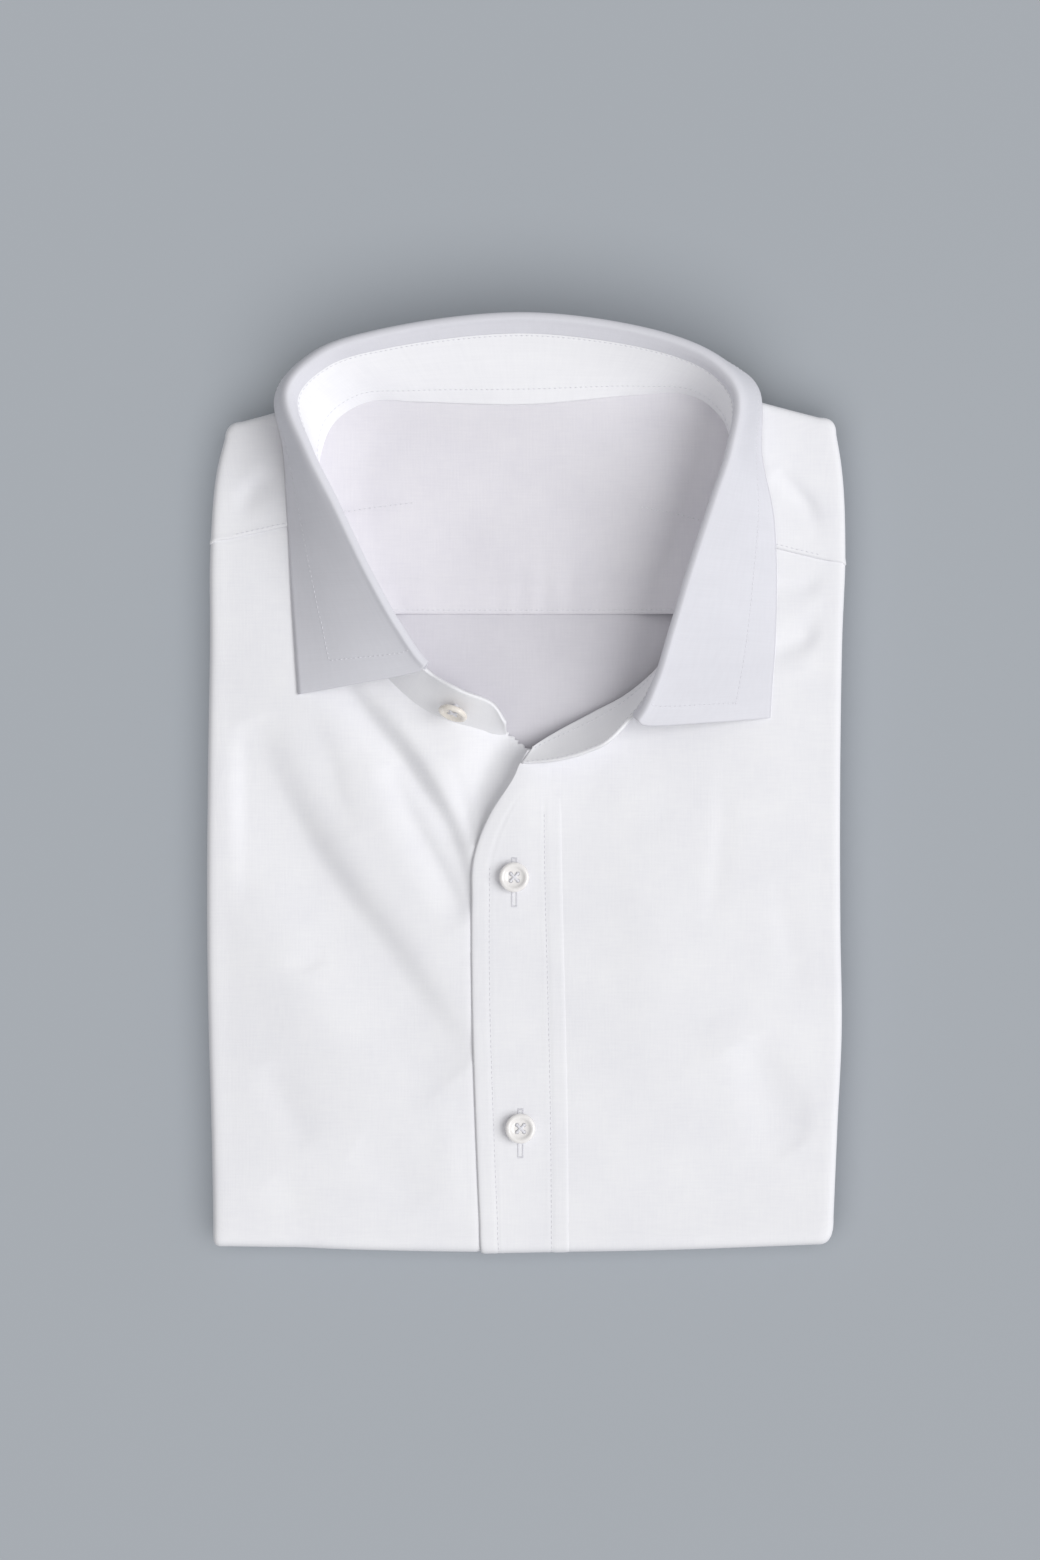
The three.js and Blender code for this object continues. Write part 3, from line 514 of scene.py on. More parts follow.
print("white cotton is", [round(c, 3) for c in linear("F4F4F8")[:3]], "in linear light")

# %% Poplin
WAVE_UNIT = 0.31416  # a wave texture repeats once in this distance at a scale of 1
WEAVE = {"thread": 0.55, "slub_length": 9.0, "slub_width": 0.7, "patch": 28.0, "depth": 0.12}  # mm
# Poplin has a thread each 0.2 mm. That is finer than a pixel, so the weave is drawn at 0.55 mm.
PRESSED_COTTON = {  # matt fibres with little gloss, and fibre ends that catch grazing light
    "Roughness": 0.88, "IOR": 1.45, "Specular IOR Level": 0.25, "Sheen Weight": 0.12, "Sheen Roughness": 0.5,
}


def poplin(name, colour, shade, bump=0.16):
    """Plain-woven pressed cotton: matt, with a faint grain along its threads and a soft grazing sheen."""
    material, tree, shader = new_material(name, PRESSED_COTTON)
    flat = add_node(tree, "ShaderNodeTexCoord").outputs["UV"]
    warp, weft = (
        add_node(tree, "ShaderNodeTexWave", {"Vector": flat, "Scale": WAVE_UNIT / (WEAVE["thread"] * MM)},
                 wave_type="BANDS", bands_direction=direction).outputs["Fac"]
        for direction in "XY"
    )
    weave = add_node(tree, "ShaderNodeMath", {0: warp, 1: weft}, operation="MULTIPLY").outputs[0]
    slubs = []
    narrow, long = WEAVE["slub_width"], WEAVE["slub_length"]
    for across, along in ((narrow, long), (long, narrow)):
        scale = (1 / (across * MM), 1 / (along * MM), 1.0)
        stretched = add_node(tree, "ShaderNodeMapping", {"Vector": flat, "Scale": scale})
        slubs.append(add_node(tree, "ShaderNodeTexNoise", {
            "Vector": stretched.outputs[0], "Scale": 1.0, "Detail": 2.0,
        }).outputs["Fac"])
    yarn = add_node(tree, "ShaderNodeMath", {0: slubs[0], 1: slubs[1]}, operation="ADD").outputs[0]
    patches = add_node(tree, "ShaderNodeTexNoise", {
        "Vector": flat, "Scale": 1 / (WEAVE["patch"] * MM), "Detail": 3.0, "Roughness": 0.6,
    }).outputs["Fac"]
    tone, grain = (
        add_node(tree, "ShaderNodeMath", {0: first, 1: weight, 2: other}, operation="MULTIPLY_ADD").outputs[0]
        for first, weight, other in ((yarn, 0.5, patches), (weave, 0.6, yarn))
    )
    share = add_node(tree, "ShaderNodeMapRange", {"Value": tone, "From Min": 0.7, "From Max": 1.35})
    mixed = add_node(tree, "ShaderNodeMix", {
        "Factor": share.outputs[0], "A": linear(shade), "B": linear(colour),
    }, data_type="RGBA")
    raised = add_node(tree, "ShaderNodeBump", {
        "Height": grain, "Strength": bump, "Distance": WEAVE["depth"] * MM,
    })
    tree.links.new(mixed.outputs["Result"], shader.inputs["Base Color"])
    tree.links.new(raised.outputs[0], shader.inputs["Normal"])
    return material


COTTON = poplin("white_cotton_poplin", "F2F2F5", "EAEAEF")
# Painted shade: the inner yoke and the hidden layers are the same white poplin, drawn darker for the neck
# hollow and the grooves at the fold's edges.
INNER_COTTON_PAINTED_SHADE = poplin("white_cotton_poplin_inside_painted_shade", "E6E4E9", "DEDCE3", bump=0.22)
# Painted shade: the back inside the collar is the same white poplin, drawn darker still.
BACK_COTTON_PAINTED_SHADE = poplin("white_cotton_poplin_back_painted_shade", "DCDAE0", "D4D2D9", bump=0.22)
# Painted light: the collar stand is the same white poplin, drawn lighter than the fronts.
STAND_COTTON_PAINTED_LIGHT = poplin("stand_poplin_painted_light", "F6F6F9", "EFEFF3", bump=0.1)
# Painted shade: the collar's leaf is the same white poplin, drawn darker than the fronts.
LEAF_COTTON_PAINTED_SHADE = poplin("leaf_poplin_painted_shade", "DFDFE6", "D8D8DF", bump=0.1)
for cotton in (COTTON, INNER_COTTON_PAINTED_SHADE, BACK_COTTON_PAINTED_SHADE, STAND_COTTON_PAINTED_LIGHT, LEAF_COTTON_PAINTED_SHADE):
    print("cotton:", cotton.name)

# %% [markdown]
# ## From a flat grid to a sheet of cloth
#
# Each piece starts as a flat grid, as cloth starts flat on the cutting table. A surface function takes each
# place of it, two shares from 0 to 1, to its place on the shirt, and gives the place on the flat cloth in
# millimetres, which becomes the UV map: the weave then follows the threads. Solidify gives the cloth its
# thickness on the hidden side.

# %% Making a sheet
CLOTH_THICKNESS = 0.55
TRIM_ABOVE = 14.0  # only the upper layers are cut at the neck, not what turns under the shoulder
TRIM_ROOM = 3  # faces this far outside the seam may reach over it


def trim_to_neck(bm):
    """Cuts the upper layers of a sheet along the neck seam."""
    low, high = NECK_LINE.min(0) - TRIM_ROOM, NECK_LINE.max(0) + TRIM_ROOM
    near = [v for v in bm.verts if v.co.z > TRIM_ABOVE * MM
            and low[0] < v.co.x / MM < high[0] and low[1] < v.co.y / MM < high[1]]
    places = np.array([v.co[:2] for v in near]) / MM
    outside, nearest = from_neck(places[:, 0], places[:, 1])
    distance = {v: d for v, d in zip(near, outside)}
    gone = [face for face in bm.faces
            if all(v in distance for v in face.verts) and sum(distance[v] for v in face.verts) < 0]
    lost = set(gone)
    for v, d, point in zip(near, outside, nearest):
        if d < 0 and any(face not in lost for face in v.link_faces):
            v.co.x, v.co.y = point * MM
    bmesh.ops.delete(bm, geom=gone, context="FACES")


def mesh_of(name, bm):
    """A finished bmesh as a smooth mesh."""
    for face in bm.faces:
        face.smooth = True
    mesh = bpy.data.meshes.new(name)
    bm.to_mesh(mesh)
    bm.free()
    return mesh


def sheet_mesh(name, across, along, surface, trimmed=False):
    """A flat grid laid along a surface function, and the size of its cut."""
    bm = bmesh.new()
    bmesh.ops.create_grid(bm, x_segments=across, y_segments=along, size=0.5, calc_uvs=True)
    shares = np.array([vert.co[:2] for vert in bm.verts]) + 0.5
    points, flat = surface(shares[:, 0], shares[:, 1])
    for vert, point in zip(bm.verts, points * MM):
        vert.co = point
    uv = bm.loops.layers.uv.verify()
    for face in bm.faces:
        for loop in face.loops:
            loop[uv].uv = flat[loop.vert.index] * MM
    if trimmed:
        trim_to_neck(bm)
    return mesh_of(name, bm), np.ptp(flat, axis=0) * MM


def flat_area(mesh):
    """The area of a sheet on the cutting table, from its UV map."""
    corners = np.zeros(len(mesh.loops) * 2)
    mesh.uv_layers[0].uv.foreach_get("vector", corners)
    corners = corners.reshape(-1, 4, 2)
    after = np.roll(corners, -1, axis=1)
    doubled = corners[..., 0] * after[..., 1] - corners[..., 1] * after[..., 0]
    return abs(doubled.sum(axis=1)).sum() / 2


def add_piece(name, mesh, material):
    """An object of the shirt: its mesh in place, its material, and the body that it moves with."""
    piece = add_object(name, mesh)
    mesh.materials.append(material)
    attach(piece, "root")
    return piece


def add_cloth(name, node, grid, surface, material, thickness=CLOTH_THICKNESS, trimmed=False):
    """A sheet of cloth with its thickness, in place of a CAD node."""
    mesh, cut = sheet_mesh(name, *grid, surface, trimmed)
    piece = add_piece(name, mesh, material)
    solidify = piece.modifiers.new("thickness", "SOLIDIFY")
    solidify.thickness = thickness * MM
    solidify.offset = -1.0
    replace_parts(piece, node)
    area = flat_area(mesh)
    print(f"{name}: cut {cut[0] / MM:.0f} by {cut[1] / MM:.0f} mm, {area:.4f} square metres")
    return piece


# %% [markdown]
# ## Fronts
#
# The two fronts cover most of what shows. Both start turned under the bottom fold, come up over it and end
# at the yoke. The front with the buttons runs on under the placket, a little deeper, and it has the long
# folds that pull from the collar to the closing. The buttonhole front lies nearly flat. Both are grids
# taken over the fold, cut at the neck.

# %% Fronts
FRONT_TOP = 97  # about where the yoke seam crosses the button side
PLACKET_COVER = 2.0  # the placket's free edge reaches past the front that carries it
YOKE_COVER = {"length": 3.0, "drop": 0.75, "before": 0.5, "over": 1.2}  # the yoke's edge lies on the fronts
YOKE_EDGE = {"rise": 0.4, "width": 1.6}  # its seam is thick there


def tail_start(x, turn=UNDERTURN):
    """Where a panel that is turned under the bottom fold begins."""
    return bottom_y(x) + TAIL_ROLL * (1 - turn)


def side_start(side, y):
    """Where a panel that is turned under one side, -1 or 1, begins."""
    return side * (side_x(side, y) - SIDE_ROLL * (1 - UNDERTURN))


def yoke_seam_y(x):
    return between(YOKE_SEAM, "x", x, "y")


def under_yoke(x, y):
    """How far the fronts dip to pass under the yoke's edge."""
    return YOKE_COVER["drop"] * ease((y - yoke_seam_y(x) + YOKE_COVER["before"]) / YOKE_COVER["over"])


def panel(x, y, *sunk):
    """A panel's places on the fold, sunk by the sum of some functions, and its places on flat cloth."""
    return on_fold(x, y, lambda bx, by: sum(depth(bx, by) for depth in sunk)), np.stack([x, y], axis=-1)


def left_front(u, v):
    guide = mix(tail_start(0), FRONT_TOP, v)
    underlap = UNDERLAP["length"] * ease((UNDERLAP["below"] - guide) / UNDERLAP["over"])
    x = mix(side_start(-1, guide), placket_x(guide, "left") + underlap, u)
    y = mix(tail_start(x), yoke_seam_y(x) + YOKE_COVER["length"], v)
    return panel(x, y, button_side, under_yoke)


def right_front(u, v):
    guide = mix(tail_start(0), yoke_seam_y(0) + YOKE_COVER["length"], v)
    x = mix(placket_x(guide, "left") + PLACKET_COVER, side_start(1, guide), u)
    y = mix(tail_start(x), yoke_seam_y(x) + YOKE_COVER["length"], v)
    return panel(x, y, buttonhole_side, under_yoke)


add_cloth("left_front_cloth", "left_front", (105, 205), left_front, COTTON,
          trimmed=True)
add_cloth("right_front_cloth", "right_front", (96, 200), right_front, COTTON,
          trimmed=True)

# %% [markdown]
# ## The yoke
#
# The yoke is the double piece over the shoulders. Its outer layer shows on both shoulders: its front edges
# lie on the fronts, edge-stitched, and it turns under at the shoulder fold. Its inner layer is the floor
# inside the collar, sewn up to the neck seam all round, with the back hanging from its lower edge.

# %% Outer yoke
YOKE_SIDES = (90, 140)  # its seam and its far edge, at the sides of the fold


def outer_yoke(u, v):
    side = np.where(u < 0.5, -1, 1)
    x = side_start(side, mix(*YOKE_SIDES, v)) * np.abs(2 * u - 1)
    y = mix(yoke_seam_y(x), shoulder_y(x) - SIDE_ROLL * (1 - UNDERTURN), v)
    thick = YOKE_EDGE["rise"] * np.exp(-(((y - yoke_seam_y(x)) / YOKE_EDGE["width"]) ** 2))
    return panel(x, y, crease_depth, lambda bx, by: -thick)


add_cloth("outer_yoke_cloth", "outer_yoke", (176, 52), outer_yoke, COTTON,
          trimmed=True)

# %% Inner yoke and back
HOLLOW = {"width": 70, "length": 52, "dip": 6, "flat": 0.3, "over": 0.75}  # the floor inside the collar
BACK_DROP = {"under_fronts": 2.0, "settled": 3.6, "over": 14}  # the layer below the fronts
SEAM_HOLD = {"drop": 0.9, "reach": 20}  # the inner yoke comes up to the neck seam over this distance
YOKE_TUCK = 2.0  # the inner yoke runs on past the neck seam, under the outer one
BACK_TUCK = {"length": 2.0, "drop": 0.6, "over": 1.0}  # the back dips to pass under the inner yoke
BAND = {"height": 13.5, "rise": 0.35, "edge": 1.2}  # the inner yoke's doubled lower edge
PUCKER = {"depth": 0.16, "length": 1.9, "drift": 11, "sway": 2, "swell": 23, "shift": 1}  # along its seam


def back_drop(x, y):
    settled = ease((shoulder_y(x) - SIDE_ROLL - y) / BACK_DROP["over"])
    from_middle = np.hypot((x - NECK_MIDDLE[0]) / HOLLOW["width"], (y - NECK_MIDDLE[1]) / HOLLOW["length"])
    hollow = HOLLOW["dip"] * (1 - ease((from_middle - HOLLOW["flat"]) / HOLLOW["over"]))
    return BACK_DROP["under_fronts"] + BACK_DROP["settled"] * settled + hollow


def back_place(u, v, low, high):
    guide = mix(low, high, v)
    return mix(BACK_INSET - side_x(-1, guide), side_x(1, guide) - BACK_INSET, u)


def back_panel(u, v):
    x = back_place(u, v, BACK_LOW_Y, INNER_SEAM_Y)
    y = mix(BACK_LOW_Y, INNER_SEAM_Y + BACK_TUCK["length"], v)
    tucked = BACK_TUCK["drop"] * ease((y - INNER_SEAM_Y) / BACK_TUCK["over"] + 1)
    return np.stack([x, y, smooth_top(x, y) - back_drop(x, y) - tucked], axis=-1), np.stack([x, y], axis=-1)


def inner_yoke(u, v):
    x = back_place(u, v, INNER_SEAM_Y, shoulder_y(0) - SIDE_ROLL)
    y = mix(INNER_SEAM_Y, shoulder_y(x) - SIDE_ROLL + YOKE_TUCK, v)
    distance = np.abs(from_neck(x, y)[0])
    drop = mix(SEAM_HOLD["drop"], back_drop(x, y), ease(distance / SEAM_HOLD["reach"]))
    above = y - INNER_SEAM_Y
    doubled = BAND["rise"] * ease((BAND["height"] - above) / BAND["edge"])
    drift = np.sin(x / PUCKER["drift"]) * PUCKER["sway"]
    waves = np.sin(x / PUCKER["length"] + drift) * np.sin(x / PUCKER["swell"] + PUCKER["shift"])
    puckers = PUCKER["depth"] * waves * np.exp(-(((above - BAND["height"] / 2) / BAND["height"]) ** 2))
    return np.stack([x, y, smooth_top(x, y) - drop + doubled + puckers], axis=-1), np.stack([x, y], axis=-1)


add_cloth("back_cloth", "back_panel", (80, 86), back_panel, BACK_COTTON_PAINTED_SHADE)
add_cloth("inner_yoke_cloth", "inner_yoke", (136, 56), inner_yoke, INNER_COTTON_PAINTED_SHADE)

# %% [markdown]
# ## The placket
#
# The placket is a folded strip with the buttonholes, 35 mm wide, on the edge of the buttonhole front. Its
# two rows of stitches pull it down a little, so it is softly quilted between them. Its edges are folds, so
# they round over. It comes up over the bottom fold with the front.

# %% Placket
PLACKET_TURN = np.radians(99)  # it ends this far round the bottom fold
PLACKET_TOP = 22  # past the neck seam, where it is cut
PLACKET_ROWS = {"in": 7.0, "pull": 0.2, "width": 0.8, "middle": 0.16, "over": 2.5}  # stitches, from each edge
EDGE_FOLD = {"drop": 0.35, "width": 0.7}
PLACKET_LOW = 0.42  # how much less it rises along the edge where the front is folded into it
PLACKET_FLUSH = {"drop": 0.3, "from": -14, "over": 14}  # near the collar that edge melts into the front


def placket(u, v):
    y = mix(tail_start(0, PLACKET_TURN), PLACKET_TOP, v)
    left, right = placket_x(y, "left"), placket_x(y, "right")
    x = mix(left, right, u)
    from_edge = np.minimum(x - left, right - x)
    past_row = from_edge - PLACKET_ROWS["in"]
    stitched = PLACKET_ROWS["pull"] * np.exp(-((past_row / PLACKET_ROWS["width"]) ** 2))
    stitched = stitched + PLACKET_ROWS["middle"] * ease(past_row / PLACKET_ROWS["over"])
    folded = EDGE_FOLD["drop"] * np.exp(-((from_edge / EDGE_FOLD["width"]) ** 2))
    flush = ease((y - PLACKET_FLUSH["from"]) / PLACKET_FLUSH["over"])
    lowered = (stitched + folded) * (1 - flush) + (PLACKET_LOW + PLACKET_FLUSH["drop"] * flush) * ease(u)

    def sunk(bx, by):
        return buttonhole_side(bx, by) - PLACKET_RISE + lowered

    return panel(x, y, sunk)


add_cloth("placket_cloth", "placket", (44, 230), placket, COTTON,
          thickness=0.6, trimmed=True)

# %% [markdown]
# ## The collar
#
# The collar is two pieces. The stand is a firm band that rises from the neck seam, and the leaf is sewn to
# its top, rolls over the crest and falls outwards to its two points. Each is a grid whose sections are
# drawn between the collar's curves: straight for the stand, one spline over the roll for the leaf.
# Interlining makes both stiff, so they have broad even curves and no creases.

# %% Stand and leaf
STAND_THICKNESS, LEAF_THICKNESS = 1.4, 1.0
ROLL_RADIUS = 2.2  # the crest of the collar
ROLL_DROP = 0.7  # the leaf's roll is this much flatter than round
BESIDE = 0.25  # rows to each side, for the way that the collar runs
LEAF_START = 6.5  # the leaf begins this far below the crest, on the inside
LEAF_BOW = {"out": 0.7, "up": 0.5}  # how far the middle of the leaf stands off a straight line
STAND_TUCK = {"up": 1.0, "back": 0.3, "from": 0.94}  # its top edge goes in behind the leaf
STAND_FOOT = 2.2  # the stand's foot reaches this far below the cloth's face, into the seam
UP = np.array([0.0, 0.0, 1.0])


def unit(vectors):
    return vectors / np.maximum(np.linalg.norm(vectors, axis=-1, keepdims=True), TINY)


def outward_at(place):
    along = crest_at(place + BESIDE) - crest_at(place - BESIDE)
    return unit(np.stack([-along[:, 1], along[:, 0], 0 * along[:, 0]], axis=-1))


def stand_top_at(place):
    crest, seam = crest_at(place), seam_at(place)
    inside = crest - outward_at(place) * ROLL_RADIUS - UP * ROLL_RADIUS
    share = (LEAF_START - ROLL_RADIUS) / np.linalg.norm(seam - inside, axis=-1, keepdims=True)
    return mix(inside, seam, share)


def stand(u, v):
    place = u * LAST_ROW
    leaf_share = ease(np.minimum(place - FIRST_LEAF + 1, LAST_LEAF + 1 - place))[:, None]
    top = mix(crest_at(place), stand_top_at(place), leaf_share)
    seam = seam_at(place)
    seam = seam - unit(top - seam) * STAND_FOOT
    height = np.linalg.norm(top - seam, axis=-1)
    risen = top + unit(top - seam) * STAND_TUCK["up"] * leaf_share
    back = STAND_TUCK["back"] * ease((v - STAND_TUCK["from"]) / (1 - STAND_TUCK["from"]))
    tucked = outward_at(place) * back[:, None] * leaf_share
    return mix(seam, risen, v[:, None]) + tucked, np.stack([u * round_neck, v * height.mean()], axis=-1)


def leaf(u, v):
    place = mix(FIRST_LEAF, LAST_LEAF, u)
    crest, outward, edge, start = crest_at(place), outward_at(place), edge_at(place), stand_top_at(place)
    start = start + unit(crest - start) * SEAM
    inner, outer = (crest + outward * ROLL_RADIUS * side - UP * ROLL_RADIUS * ROLL_DROP for side in (-1, 1))
    middle = mix(outer, edge, 0.5) + outward * LEAF_BOW["out"] + UP * LEAF_BOW["up"]
    section = np.stack([start, inner, crest, outer, middle, edge])
    return smooth_curve(section, v), np.stack([u * round_neck, v * length_of(section).mean()], axis=-1)


add_cloth("collar_stand_cloth", "collar_stand", (360, 36), stand, STAND_COTTON_PAINTED_LIGHT,
          thickness=STAND_THICKNESS)
add_cloth("collar_leaf_cloth", "collar_leaf", (340, 72), leaf, LEAF_COTTON_PAINTED_SHADE,
          thickness=LEAF_THICKNESS)

# %% [markdown]
# ## Hidden layers
#
# The sleeves, the turned-under sides and the tail lie inside the fold and show only at its edges, as
# rounded layers with grooves between them. All of it is one body: a grid that goes round the fold from the
# middle of the underside, up over each layer's edge and in over the top. Its two ends close in a point
# each, and its doubled points are merged.

# %% Layers at the edges
LAYERS = [  # each layer's rounded edge: how far inside the outline it is centred, its height and its radius
    (3.3, 1.3, 1.25), (2.2, 3.75, 1.15), (3.0, 6.05, 1.1), (4.7, 7.95, 0.75),
]
LAYER_FACETS = 7
LAYER_ARC, TOP_ARC = (-80, 80), (-76, 80)  # degrees of the rounded edges, here and at the fold's top
LAYER_STEP = 0.3  # towards the bottom fold the layers merge, and their rows lie this close
LOBES_END = 0.4  # they have merged at this share of the way round the corner
CORE_CLEAR = 0.7  # between the hidden layers and the cloth round them
CORE_INSETS = [17, 30, 44, 58, 74, 92]  # rows over the top, from the outline in
UNDER_INSETS = [60, 24, 12]  # rows under the fold
UNDERLAP_HALF = 45  # the bottom fold is lower this far to each side, where the button side runs on
STRAIGHT_DOWN = 0.99  # and only where a layer faces down the shirt
CORNER_TURN = 0.16  # the share of each quarter of the way round that its corner takes
CORNER_ROOM, SHOULDER_ROOM = 1.6, 0.9  # how much further in the layers stay there
TOP_POINT = {"y": -20.0, "below": 8}  # where the rows over the top close
QUARTERS = np.array([[1, -1], [1, 1], [-1, 1], [-1, -1], [1, -1]], float)


def rounded_edge(inset, height, radius, arc=LAYER_ARC):
    angle = np.radians(np.linspace(*arc, LAYER_FACETS))[:, None]
    return radius * np.cos(angle) - inset, height + radius * np.sin(angle)


def inside_outline(share, side_inset, high_inset, low_inset):
    """A place inside the outline, from shares of its half width and half length and the ways in."""
    x, y = np.zeros(len(share)), np.zeros(len(share))
    for _ in range(SETTLING):
        x = mix(side_inset - side_x(-1, y), side_x(1, y) - side_inset, (share[:, 0] + 1) / 2)
        y = mix(bottom_y(x) + low_inset, shoulder_y(x) - high_inset, (share[:, 1] + 1) / 2)
    return x, y


def layer_rows(u):
    """The points of every row of the hidden layers, at shares u of the way round."""
    quarter = np.minimum((u * 4).astype(int), 3)
    part = u * 4 - quarter
    angle = (quarter - 1 + np.clip(part / CORNER_TURN, 0, 1)) * np.pi / 2
    facing = np.stack([np.cos(angle), np.sin(angle)])
    on_edge = np.clip((part - CORNER_TURN) / (1 - CORNER_TURN), 0, 1)[:, None]
    share = mix(QUARTERS[quarter], QUARTERS[quarter + 1], on_edge)
    slope = np.abs(facing[1]) / np.abs(facing).sum(0)
    to_bottom = np.where(facing[1] < 0, slope, 0)
    corner = inside_outline(share, SIDE_ROLL, SIDE_ROLL, TAIL_ROLL)
    radius = mix(SIDE_ROLL, TAIL_ROLL, to_bottom)
    at_corner = CORNER_ROOM * np.abs(facing[0] * facing[1])
    at_shoulder = np.where(facing[1] > 0, slope, 0) * SHOULDER_ROOM
    near_middle = (np.abs(corner[0]) < UNDERLAP_HALF) & (to_bottom > STRAIGHT_DOWN)
    under_placket = np.where(near_middle, UNDERLAP["drop"], 0)
    covered = CLOTH_THICKNESS + CORE_CLEAR + at_corner + at_shoulder + under_placket
    lobes = 1 - np.clip(to_bottom / LOBES_END, 0, 1)
    reach, height = (np.concatenate(part) for part in zip(*(rounded_edge(*layer) for layer in LAYERS)))
    steps = LAYER_STEP * np.arange(len(reach))[:, None]
    reach, height = mix(1 - radius, reach, lobes) - at_corner, mix(steps, height, lobes)
    upper_reach, upper_height = rounded_edge(radius, RIM_HEIGHT - radius, radius - covered, TOP_ARC)
    reach, height = np.concatenate([reach, upper_reach]), np.concatenate([height, upper_height])
    fan = radius + reach
    rows = [np.stack([corner[0] + facing[0] * out, corner[1] + facing[1] * out, z], axis=-1)
            for out, z in zip(fan, height)]
    for inset in CORE_INSETS:
        x, y = inside_outline(share, inset, inset, inset)
        top = smooth_top(x, y) - back_drop(x, y) - 2 * CLOTH_THICKNESS - CORE_CLEAR
        rows.append(np.stack([x, y, top], axis=-1))
    for inset in UNDER_INSETS[::-1]:
        x, y = inside_outline(share, inset, inset, inset)
        rows.insert(0, np.stack([x, y, 0 * x], axis=-1))
    rows.insert(0, np.zeros((len(u), 3)))
    top = smooth_top(np.zeros(1), np.array([TOP_POINT["y"]]))[0] - TOP_POINT["below"]
    rows.append(np.repeat([[0.0, TOP_POINT["y"], top]], len(u), axis=0))
    return np.stack(rows)


LAYER_ROWS = len(layer_rows(np.array([0.0])))
AROUND = 780.0  # mm of weave drawn round the fold's edge, a little coarser than on the panels
ROUND_FACES = 400
DOUBLED = 0.01  # points nearer than this are one


def hidden_layers(u, v):
    row = np.rint(v * (LAYER_ROWS - 1)).astype(int)
    shares, where = np.unique(np.round(u, 6), return_inverse=True)
    points = layer_rows(shares)[row, where]
    return points, np.stack([u * AROUND, v * LAYER_ROWS], axis=-1)


def close_up(mesh):
    """Merges a grid's doubled points into a closed body, with its faces turned outwards."""
    bm = bmesh.new()
    bm.from_mesh(mesh)
    bmesh.ops.remove_doubles(bm, verts=bm.verts, dist=DOUBLED * MM)
    bmesh.ops.recalc_face_normals(bm, faces=bm.faces)
    bm.to_mesh(mesh)
    bm.free()


layers_mesh, _ = sheet_mesh("hidden_layers_cloth", ROUND_FACES, LAYER_ROWS - 1, hidden_layers)
close_up(layers_mesh)
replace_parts(add_piece("hidden_layers_cloth", layers_mesh, INNER_COTTON_PAINTED_SHADE), "hidden_layers")
print(f"hidden layers: {len(layers_mesh.polygons)} faces in {LAYER_ROWS} rows")

# %% [markdown]
# ## Stitches
#
# A lockstitch shows on top as a short thread that dips into the cloth at each end. A row of small stretched
# spheres gives that, each one lying along its sheet: its middle, its way ahead and its way out come from
# the same surface function as the cloth, so a row can't leave its piece. All rows of a piece are one mesh.

# %% Thread
TWIST = {"pitch": 0.35, "depth": 0.05}  # mm, of the thread's strands
# Painted shade: the thread is white, drawn greyer than the cloth for the shadowed holes between stitches.
THREAD_PAINTED_SHADE, thread_tree, thread_shader = new_material("spun_polyester_thread_painted_shade", {
    "Base Color": linear("E0E0E6"), "Roughness": 0.6, "Sheen Weight": 0.3,
})
twist = add_node(thread_tree, "ShaderNodeTexWave", {
    "Vector": add_node(thread_tree, "ShaderNodeTexCoord").outputs["Object"],
    "Scale": WAVE_UNIT / (TWIST["pitch"] * MM),
}, wave_type="BANDS", bands_direction="DIAGONAL")
twist_bump = add_node(thread_tree, "ShaderNodeBump", {
    "Height": twist.outputs["Fac"], "Strength": 0.3, "Distance": TWIST["depth"] * MM,
})
thread_tree.links.new(twist_bump.outputs[0], thread_shader.inputs["Normal"])
STITCH = {"pitch": 2.0, "length": 1.45, "width": 0.42, "height": 0.34}  # mm
STITCH_FACES = 20  # a small ball has these
AHEAD = 0.3  # mm to each side of a stitch, for the way that its row runs


def on_sheet(surface, us, vs, flip=1):
    """Points and the ways out along a line of a sheet."""
    us, vs = np.broadcast_arrays(np.asarray(us, float), np.asarray(vs, float))
    step = 1e-3
    across = surface(np.minimum(us + step, 1), vs)[0] - surface(np.maximum(us - step, 0), vs)[0]
    along = surface(us, np.minimum(vs + step, 1))[0] - surface(us, np.maximum(vs - step, 0))[0]
    return surface(us, vs)[0], unit(np.cross(across, along)) * flip


def along_row(values, travelled, places):
    """A row's values at distances along it."""
    return np.stack([np.interp(places, travelled, column) for column in values.T], axis=-1)


def sew(name, rows, gauge=STITCH):
    """Stitches along rows of points with their ways out, as one piece of thread."""
    bm = bmesh.new()
    half = np.array([gauge["length"], gauge["width"], gauge["height"]]) * MM / 2
    for points, outs in rows:
        travelled = np.concatenate([[0], np.cumsum(np.linalg.norm(np.diff(points, axis=0), axis=1))])
        places = np.arange(gauge["pitch"] / 2, travelled[-1], gauge["pitch"])
        before, centres, after = (along_row(points, travelled, places + step) for step in (-AHEAD, 0, AHEAD))
        ways_out = unit(along_row(outs, travelled, places))
        for centre, forward, up in zip(centres, unit(after - before), ways_out):
            side = np.cross(up, forward)
            matrix = Matrix([list(axis * size) for axis, size in zip((forward, side, up), half)]).transposed()
            matrix = Matrix.Translation(Vector(centre * MM)) @ matrix.to_4x4()
            bmesh.ops.create_icosphere(bm, subdivisions=1, radius=1.0, matrix=matrix)
    mesh = mesh_of(name, bm)
    add_piece(name, mesh, THREAD_PAINTED_SHADE)
    print(f"{name}: {len(mesh.polygons) // STITCH_FACES} stitches")


# %% Rows of stitches on the placket
LINE = np.linspace(0, 1, 300)
PLACKET_STITCHES = {"left": (-184, -31), "right": (-184, -12)}  # where each row begins and ends
PLACKET_LOW_Y = tail_start(0, PLACKET_TURN)


